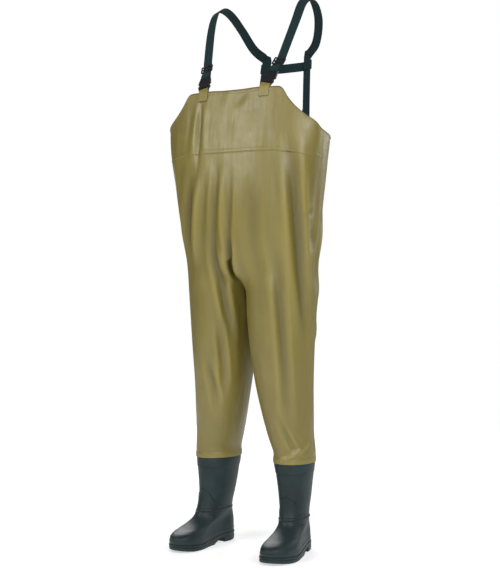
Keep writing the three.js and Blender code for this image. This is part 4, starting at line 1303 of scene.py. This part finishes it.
def soften(obj, width):
    """Rounded edges where faces meet at an angle."""
    merged = obj.modifiers.new("merged corners", "WELD")
    merged.merge_threshold = SAME_POINT * MM
    soft = obj.modifiers.new("soft edges", "BEVEL")
    soft.width = width * MM
    soft.segments = 2
    soft.limit_method = "ANGLE"
    soft.angle_limit = math.radians(SHARP_SOLID)
    soft.harden_normals = True


FORK_ROUNDS = 12


def ridge(distance, width):
    return np.exp(-((distance / width) ** 2))


class WADER_OT_trousers(bpy.types.Operator):
    """The bib trousers, with their folds and welds"""

    bl_idname = "wader.trousers"
    bl_label = "Trousers"

    def execute(self, context):
        points, raised, edges, quads = trouser_surface()
        near_fork = ridge(points[:, 2] - FORK_HEIGHT + 15, 60)
        points = relax(points, quads, 0.5 * near_fork, FORK_ROUNDS)
        normals = point_normals(points, quads)
        height = points[:, 2]
        free = smooth((height - HEM_HEIGHT - HEM_BAND) / 60)
        move = fold_depths(points, normals) + hang_ripples(points) * free
        over_boot = smooth((height - BOOT_HEIGHT) / 12)
        move = np.where(move < 0, move * over_boot, move)
        # The fold depths also go into the fabric's colour, as painted shade in the troughs and painted highlight
        # on the crests. The edge places carry the painted shade along the top edge.
        measures = {**seam_measures(points, normals), "edge": edges, "fold": move}
        measures = {key: np.tile(value, 2) for key, value in measures.items()}
        points = points + normals * (raised + move)[:, None]
        solid, faces = hollow(points, quads, FABRIC)
        slots = np.zeros(len(faces), int)
        slots[len(quads) : 2 * len(quads)] = 1
        finishes = [material_of("fabric"), material_of("inside")]
        made = make("trousers_fabric", solid, faces, finishes, slots, measures)
        declare(made, "coated_fabric", "trousers")
        return {"FINISHED"}


# The shin panel's edge, on either side of the boot's front: height at a turn from the toe
SHIN_PANEL = {
    "turn": (0, 12, 26, 42, 58, 74, 90, 180),
    "height": (170, 168, 158, 138, 121, 112, 108, 104),
}
LOWER_ROWS, UPPER_ROWS, SHAFT_ROWS = 22, 88, 66
ANKLE_RIDGES = (97.0, 104.0)
SHAFT_LINES = (104.5, 111.5, CUFF_HEIGHT - 0.5)


def boot_relief(turns, height, ring):
    """How far the upper's moulded detail stands out. Each line is a height times where it lies."""
    folded = from_front(turns)
    edge = section(SHIN_PANEL, "turn", folded)["height"]
    on_shaft = smooth((ring - 6.0) / 1.5)
    panel = 1.5 * smooth((edge - height) / 2.2 + 0.5) * smooth((height - 96) / 8)
    line = 1.1 * ridge(height - edge + 0.5, 1.8)
    ankle = sum(1.3 * ridge(height - place, 2.0) for place in ANKLE_RIDGES)
    cuff = CUFF * smooth((height - CUFF_HEIGHT) / 1.6 + 0.5)
    cuff_line = 0.5 * ridge(height - CUFF_HEIGHT - 2.5, 1.6)
    back = 0.8 * ridge(folded - 180, 5) * smooth((height - 60) / 20) * smooth((CUFF_HEIGHT - height) / 10)
    toe = 0.6 * ridge(ring - 3.4, 0.22) * smooth((62 - folded) / 14)
    rand = RAND * (1 - smooth((ring - 0.78) / 0.1)) - 0.5 * ridge(ring - 0.92, 0.07)
    wrinkle = 0.7 * ridge(ring - 5.6, 0.35) * smooth((70 - folded) / 30)
    wrinkle = wrinkle + 0.8 * ridge(ring - 6.7, 0.35) * smooth((60 - folded) / 30)
    return on_shaft * (panel + line + ankle + back) + cuff + cuff_line + toe + rand + wrinkle


def boot_measures(points, turns, rings):
    """How far each outer point lies above the shin panel's edge and the cuff's line, in millimetres."""
    edge = section(SHIN_PANEL, "turn", from_front(turns))["height"]
    height = points[:, 2].reshape(len(rings), -1)
    shaft = np.where(rings > 5.5, 0.0, 200.0)[:, None]
    return {
        "panel": (height - edge[None] + shaft).ravel(),
        "height": height.ravel(),
        "shaft": np.repeat(smooth((rings - 5.2) / 0.8), len(turns)),
    }


def boot_upper():
    """The left upper in its own frame: points, faces and the measures that its material uses."""
    turns = np.arange(BOOT_COLUMNS) * 360 / BOOT_COLUMNS
    foot = np.linspace(0, 1.2, LOWER_ROWS), np.linspace(1.25, SHAFT_RING, UPPER_ROWS)
    rings = np.concatenate([*foot, np.linspace(SHAFT_RING + 0.1, 14, SHAFT_ROWS)])
    places, index = [], []
    for k, ring in enumerate(rings):
        height = upper_point(ring, turns, 0)[:, 2]
        index.append(np.arange(k * BOOT_COLUMNS, (k + 1) * BOOT_COLUMNS))
        places.append(upper_point(ring, turns, boot_relief(turns, height, ring)))
    points = np.concatenate(places)
    measures = {key: np.tile(value, 2) for key, value in boot_measures(points, turns, rings).items()}
    return *hollow(points, bands(index), BOOT_WALL), measures


# The outsole's side, from the tread (0) to the seat (1): how far it is drawn in
SOLE_SIDE = {
    "rise": (
        0, 0.02, 0.06, 0.16, 0.3, 0.5, 0.55, 0.58, 0.6, 0.62,
        0.66, 0.7, 0.73, 0.76, 0.82, 0.9, 0.96, 0.99, 1.0,
    ),
    "inset": (3.2, 2.4, 1.8, 0.9, 0.6, 0.6, 0.7, 1.2, 1.9, 2.1, 2.1, 1.4, 0.5, 0.1, 0, 0, 0.1, 0.5, 1.2),
}
SOLE_COLUMNS = 168
SPRING_START = 0.74
ARCH = {"along": (0.248, 0.252, 0.275, 0.345, 0.42, 0.46), "up": (-0.2, 0.75, 1, 0.9, 0.3, -0.2)}


def tread_at(y):
    return TOE_SPRING * np.clip((along_foot(y) - SPRING_START) / (1 - SPRING_START), 0, 1) ** 1.6


def prism(side, half_width):
    """Points and faces of an upright outline in side view, drawn out across the foot."""
    n = len(side)
    left = [(half_width, y, z) for y, z in side]
    right = [(-half_width, y, z) for y, z in side]
    faces = [tuple(range(n)), tuple(range(2 * n - 1, n - 1, -1))]
    faces += [(i + n, (i + 1) % n + n, (i + 1) % n, i) for i in range(n)]
    return np.array(left + right), faces


def groove_stations():
    """Where the tread's cross grooves lie along the outsole."""
    margin = 0.03
    heel = np.arange(0.07, ARCH["along"][0] - margin, 0.058)
    fore = np.arange(ARCH["along"][-1] + margin, 0.95, 0.062)
    return np.concatenate([heel, fore])


def sole_cutters():
    """The arch and the cross grooves, as closed pieces in one mesh."""
    arch = zip(ARCH["along"], ARCH["up"])
    sides = [[(HEEL_BEHIND - t * FOOT_LENGTH, up * ARCH_HEIGHT) for t, up in arch]]
    half, slope = GROOVE_WIDTH / 2, 0.8
    corners = ((half + slope, -1), (half - slope, 1), (slope - half, 1), (-half - slope, -1))
    for t in groove_stations():
        y = HEEL_BEHIND - t * FOOT_LENGTH
        low = float(tread_at(y))
        sides.append([(y + along, low + up * GROOVE_DEPTH) for along, up in corners])
    return joined(prism(side, BALL_WIDTH * 0.6) for side in sides)


def outsole():
    """The left outsole in its own frame, with its arch and lugs cut by a boolean."""
    turns = np.arange(SOLE_COLUMNS) * 360 / SOLE_COLUMNS
    places, index = [], []
    for k, (rise, inset) in enumerate(zip(SOLE_SIDE["rise"], SOLE_SIDE["inset"])):
        x, y = outline(turns, inset)
        index.append(np.arange(k * SOLE_COLUMNS, (k + 1) * SOLE_COLUMNS))
        places.append(stack(x, y, mix(tread_at(y), seat_at(y), rise)))
    faces = [tuple(f) for f in bands(index)] + lid(index[0], False) + lid(index[-1], True)
    sole = make("outsole_blank", np.concatenate(places), faces, [])
    cutter = make("outsole_cutter", *sole_cutters(), [])
    cut = sole.modifiers.new("cut", "BOOLEAN")
    cut.operation = "DIFFERENCE"
    cut.solver = "EXACT"
    cut.object = cutter
    made = sole.evaluated_get(bpy.context.evaluated_depsgraph_get()).to_mesh()
    points = np.array([v.co for v in made.vertices]) / MM
    faces = [tuple(p.vertices) for p in made.polygons]
    if len(points) < len(index[0]) * len(SOLE_SIDE["rise"]):
        raise RuntimeError("the outsole's arch and lugs could not be cut")
    for part in (sole, cutter):
        bpy.data.objects.remove(part)
    return points, faces


class WADER_OT_boots(bpy.types.Operator):
    """The boots' uppers, soles and insoles"""

    bl_idname = "wader.boots"
    bl_label = "Boots"

    def execute(self, context):
        pieces = {"boot_upper": boot_upper(), "outsole": (*outsole(), None)}
        for side in SIDES:
            for name, (points, faces, measures) in pieces.items():
                points = boot_place(points)
                p, f = (points, faces) if side == "left" else mirrored(points, faces)
                flat = SHARP_SOLID if name == "outsole" else None
                rubber = [material_of("rubber")]
                made = make(f"rubber_{name}_{side}", p, f, rubber, attributes=measures, flat=flat)
                declare(made, "boot_rubber", f"{name}_{side}")
                if flat:
                    soften(made, 0.5)
            dress_node(f"insole_{side}", "insole", 0.6)
        return {"FINISHED"}


# How finely the strips are drawn: spacing along them, and rows across
STRAP_SPACING = 4.0
TAB_SPACING, TAB_ROWS = 1.5, 20


class WADER_OT_braces(bpy.types.Operator):
    """The webbing braces, buckles, sliders, rings and tabs"""

    bl_idname = "wader.braces"
    bl_label = "Braces"

    def execute(self, context):
        at = bars_at()
        points, faces, measures = ribbon(*cross_path(at), WEBBING_WIDTH, WEBBING, STRAP_SPACING)
        webbing = [material_of("webbing")]
        cross = make("webbing_cross", points, faces, webbing, attributes=measures, flat=SHARP_STRAP)
        declare(cross, "webbing", "cross_strap")
        strap = ribbon(*strap_path(at), WEBBING_WIDTH, WEBBING, STRAP_SPACING)
        tabs = {}
        for end, lean in (("front", "rise"), ("back", "drop")):
            path = rim_tab_path(at[f"{end}_turn"], at[f"{end}_edge"], at[lean], at[f"{end}_across"])
            tabs[end] = ribbon(*path, TAB_WIDTH, TAB_THICKNESS, TAB_SPACING, TAB_ROWS, tab_outline(end))
            measures = tabs[end][2]
            square_of = np.maximum(np.abs(measures["along"] - TAB_DROP / 2), np.abs(measures["across"]))
            measures["weld"] = measures["along"] - 1.0 if end == "front" else square_of - WELD_SQUARE / 2
        threads = (*strap_threads(strap, at), None)
        for side in SIDES:
            self.lay(threads, f"threads_{side}", "thread", "webbing", side)
            shoulder = f"shoulder_strap_{side}"
            self.lay(strap, f"webbing_shoulder_{side}", "webbing", "webbing", side, shoulder)
            for end, tab in tabs.items():
                replaced = f"{end}_tab_{side}"
                self.lay(tab, f"welded_{replaced}", "tab", "coated_fabric", side, replaced)
            for name in ("buckle_socket", "buckle_plug", "strap_slider", "back_ring"):
                dress_node(f"{name}_{side}", "plastic", 0.7)
        return {"FINISHED"}

    def lay(self, piece, name, finish, slot, side, *replaced):
        """One strip of a brace, on its side of the wader."""
        points, faces, measures = piece
        points, faces = (points, faces) if side == "left" else mirrored(points, faces)
        made = make(name, points, faces, [material_of(finish)], attributes=measures, flat=SHARP_STRAP)
        declare(made, slot, *replaced)


# Each lamp: degrees from the camera, distance, height and size in metres, power in watts
LAMPS = {
    "key": (30, 3.6, 2.5, 1.4, 84),
    "front": (-2, 4.6, 2.3, 1.8, 46),
    "left": (-54, 3.5, 2.7, 1.3, 66),
    "rear_key": (188, 3.8, 2.3, 2.0, 85),
    "rear_side": (130, 4.0, 2.0, 1.8, 34),
}
LAMP_AIM = 0.85
CAMERA_ASIDE = -0.016
FLOOR_DROP = 0.2


class WADER_OT_stage(bpy.types.Operator):
    """The studio floor, lights and camera"""

    bl_idname = "wader.stage"
    bl_label = "Stage"

    def execute(self, context):
        scene = context.scene
        stage = scene.wader_stage
        turns = np.radians(np.arange(0, 360, 5))
        rim = stack(np.sin(turns), -np.cos(turns), 0) * stage.floor / MM - np.array([0, 0, FLOOR_DROP])
        floor = make("floor", rim, [tuple(range(len(rim)))], [floor_paper()])
        world = bpy.data.worlds.new("studio")
        world.use_nodes = True
        nodes, links = world.node_tree.nodes, world.node_tree.links
        background = nodes["Background"]
        background.inputs["Color"].default_value = (1, 1, 1, 1)
        rays = nodes.new("ShaderNodeLightPath")
        strength = nodes.new("ShaderNodeMapRange")
        strength.inputs["To Min"].default_value = stage.ambient
        links.new(rays.outputs["Is Camera Ray"], strength.inputs["Value"])
        links.new(strength.outputs["Result"], background.inputs["Strength"])
        scene.world = world
        scene.view_settings.view_transform = "Standard"
        a = stage.azimuth
        for name, (turn, *settings) in LAMPS.items():
            lamp(name, a + math.radians(turn), *settings)
        camera = bpy.data.objects.new("camera", bpy.data.cameras.new("camera"))
        camera.data.lens = stage.lens
        camera.data.clip_end = 100
        camera.location = (
            math.sin(a) * stage.distance + CAMERA_ASIDE * math.cos(a),
            -math.cos(a) * stage.distance + CAMERA_ASIDE * math.sin(a),
            stage.eye,
        )
        camera.rotation_euler = (math.radians(90), 0, a)
        scene.collection.objects.link(camera)
        scene.camera = camera
        return {"FINISHED"}


def lamp(name, azimuth, distance, height, size, watts):
    """A soft square lamp that faces the middle of the wader."""
    data = bpy.data.lights.new(name, "AREA")
    data.size = size
    data.energy = watts
    made = bpy.data.objects.new(name, data)
    made.location = (math.sin(azimuth) * distance, -math.cos(azimuth) * distance, height)
    aim = np.array([0, 0, LAMP_AIM]) - np.array(made.location)
    tilt = math.atan2(math.hypot(aim[0], aim[1]), -aim[2])
    made.rotation_euler = (tilt, 0, math.atan2(-aim[0], aim[1]))
    bpy.context.scene.collection.objects.link(made)


class WADER_PT_sidebar(bpy.types.Panel):
    """Lists the wader's pieces and colours"""

    bl_idname = "WADER_PT_sidebar"
    bl_label = "Chest wader"
    bl_space_type = "VIEW_3D"
    bl_region_type = "UI"
    bl_category = "Wader"

    def draw(self, context):
        for name in PIECE_OPERATORS:
            self.layout.operator(name)
        for group in (context.scene.wader_colours, context.scene.wader_stage):
            for prop in group.bl_rna.properties:
                if not prop.is_readonly and prop.identifier != "name":
                    self.layout.prop(group, prop.identifier)


PIECE_OPERATORS = ("wader.trousers", "wader.boots", "wader.braces", "wader.stage")
CLASSES = (
    WaderColours,
    WaderStage,
    WADER_OT_trousers,
    WADER_OT_boots,
    WADER_OT_braces,
    WADER_OT_stage,
    WADER_PT_sidebar,
)


def register():
    for made in CLASSES:
        bpy.utils.register_class(made)
    bpy.types.Scene.wader_colours = PointerProperty(type=WaderColours)
    bpy.types.Scene.wader_stage = PointerProperty(type=WaderStage)


def unregister():
    del bpy.types.Scene.wader_stage
    del bpy.types.Scene.wader_colours
    for made in reversed(CLASSES):
        bpy.utils.unregister_class(made)


def main():
    register()
    bpy.ops.wader.trousers()
    bpy.ops.wader.boots()
    bpy.ops.wader.braces()
    bpy.ops.wader.stage()


if __name__ == "__main__":
    main()
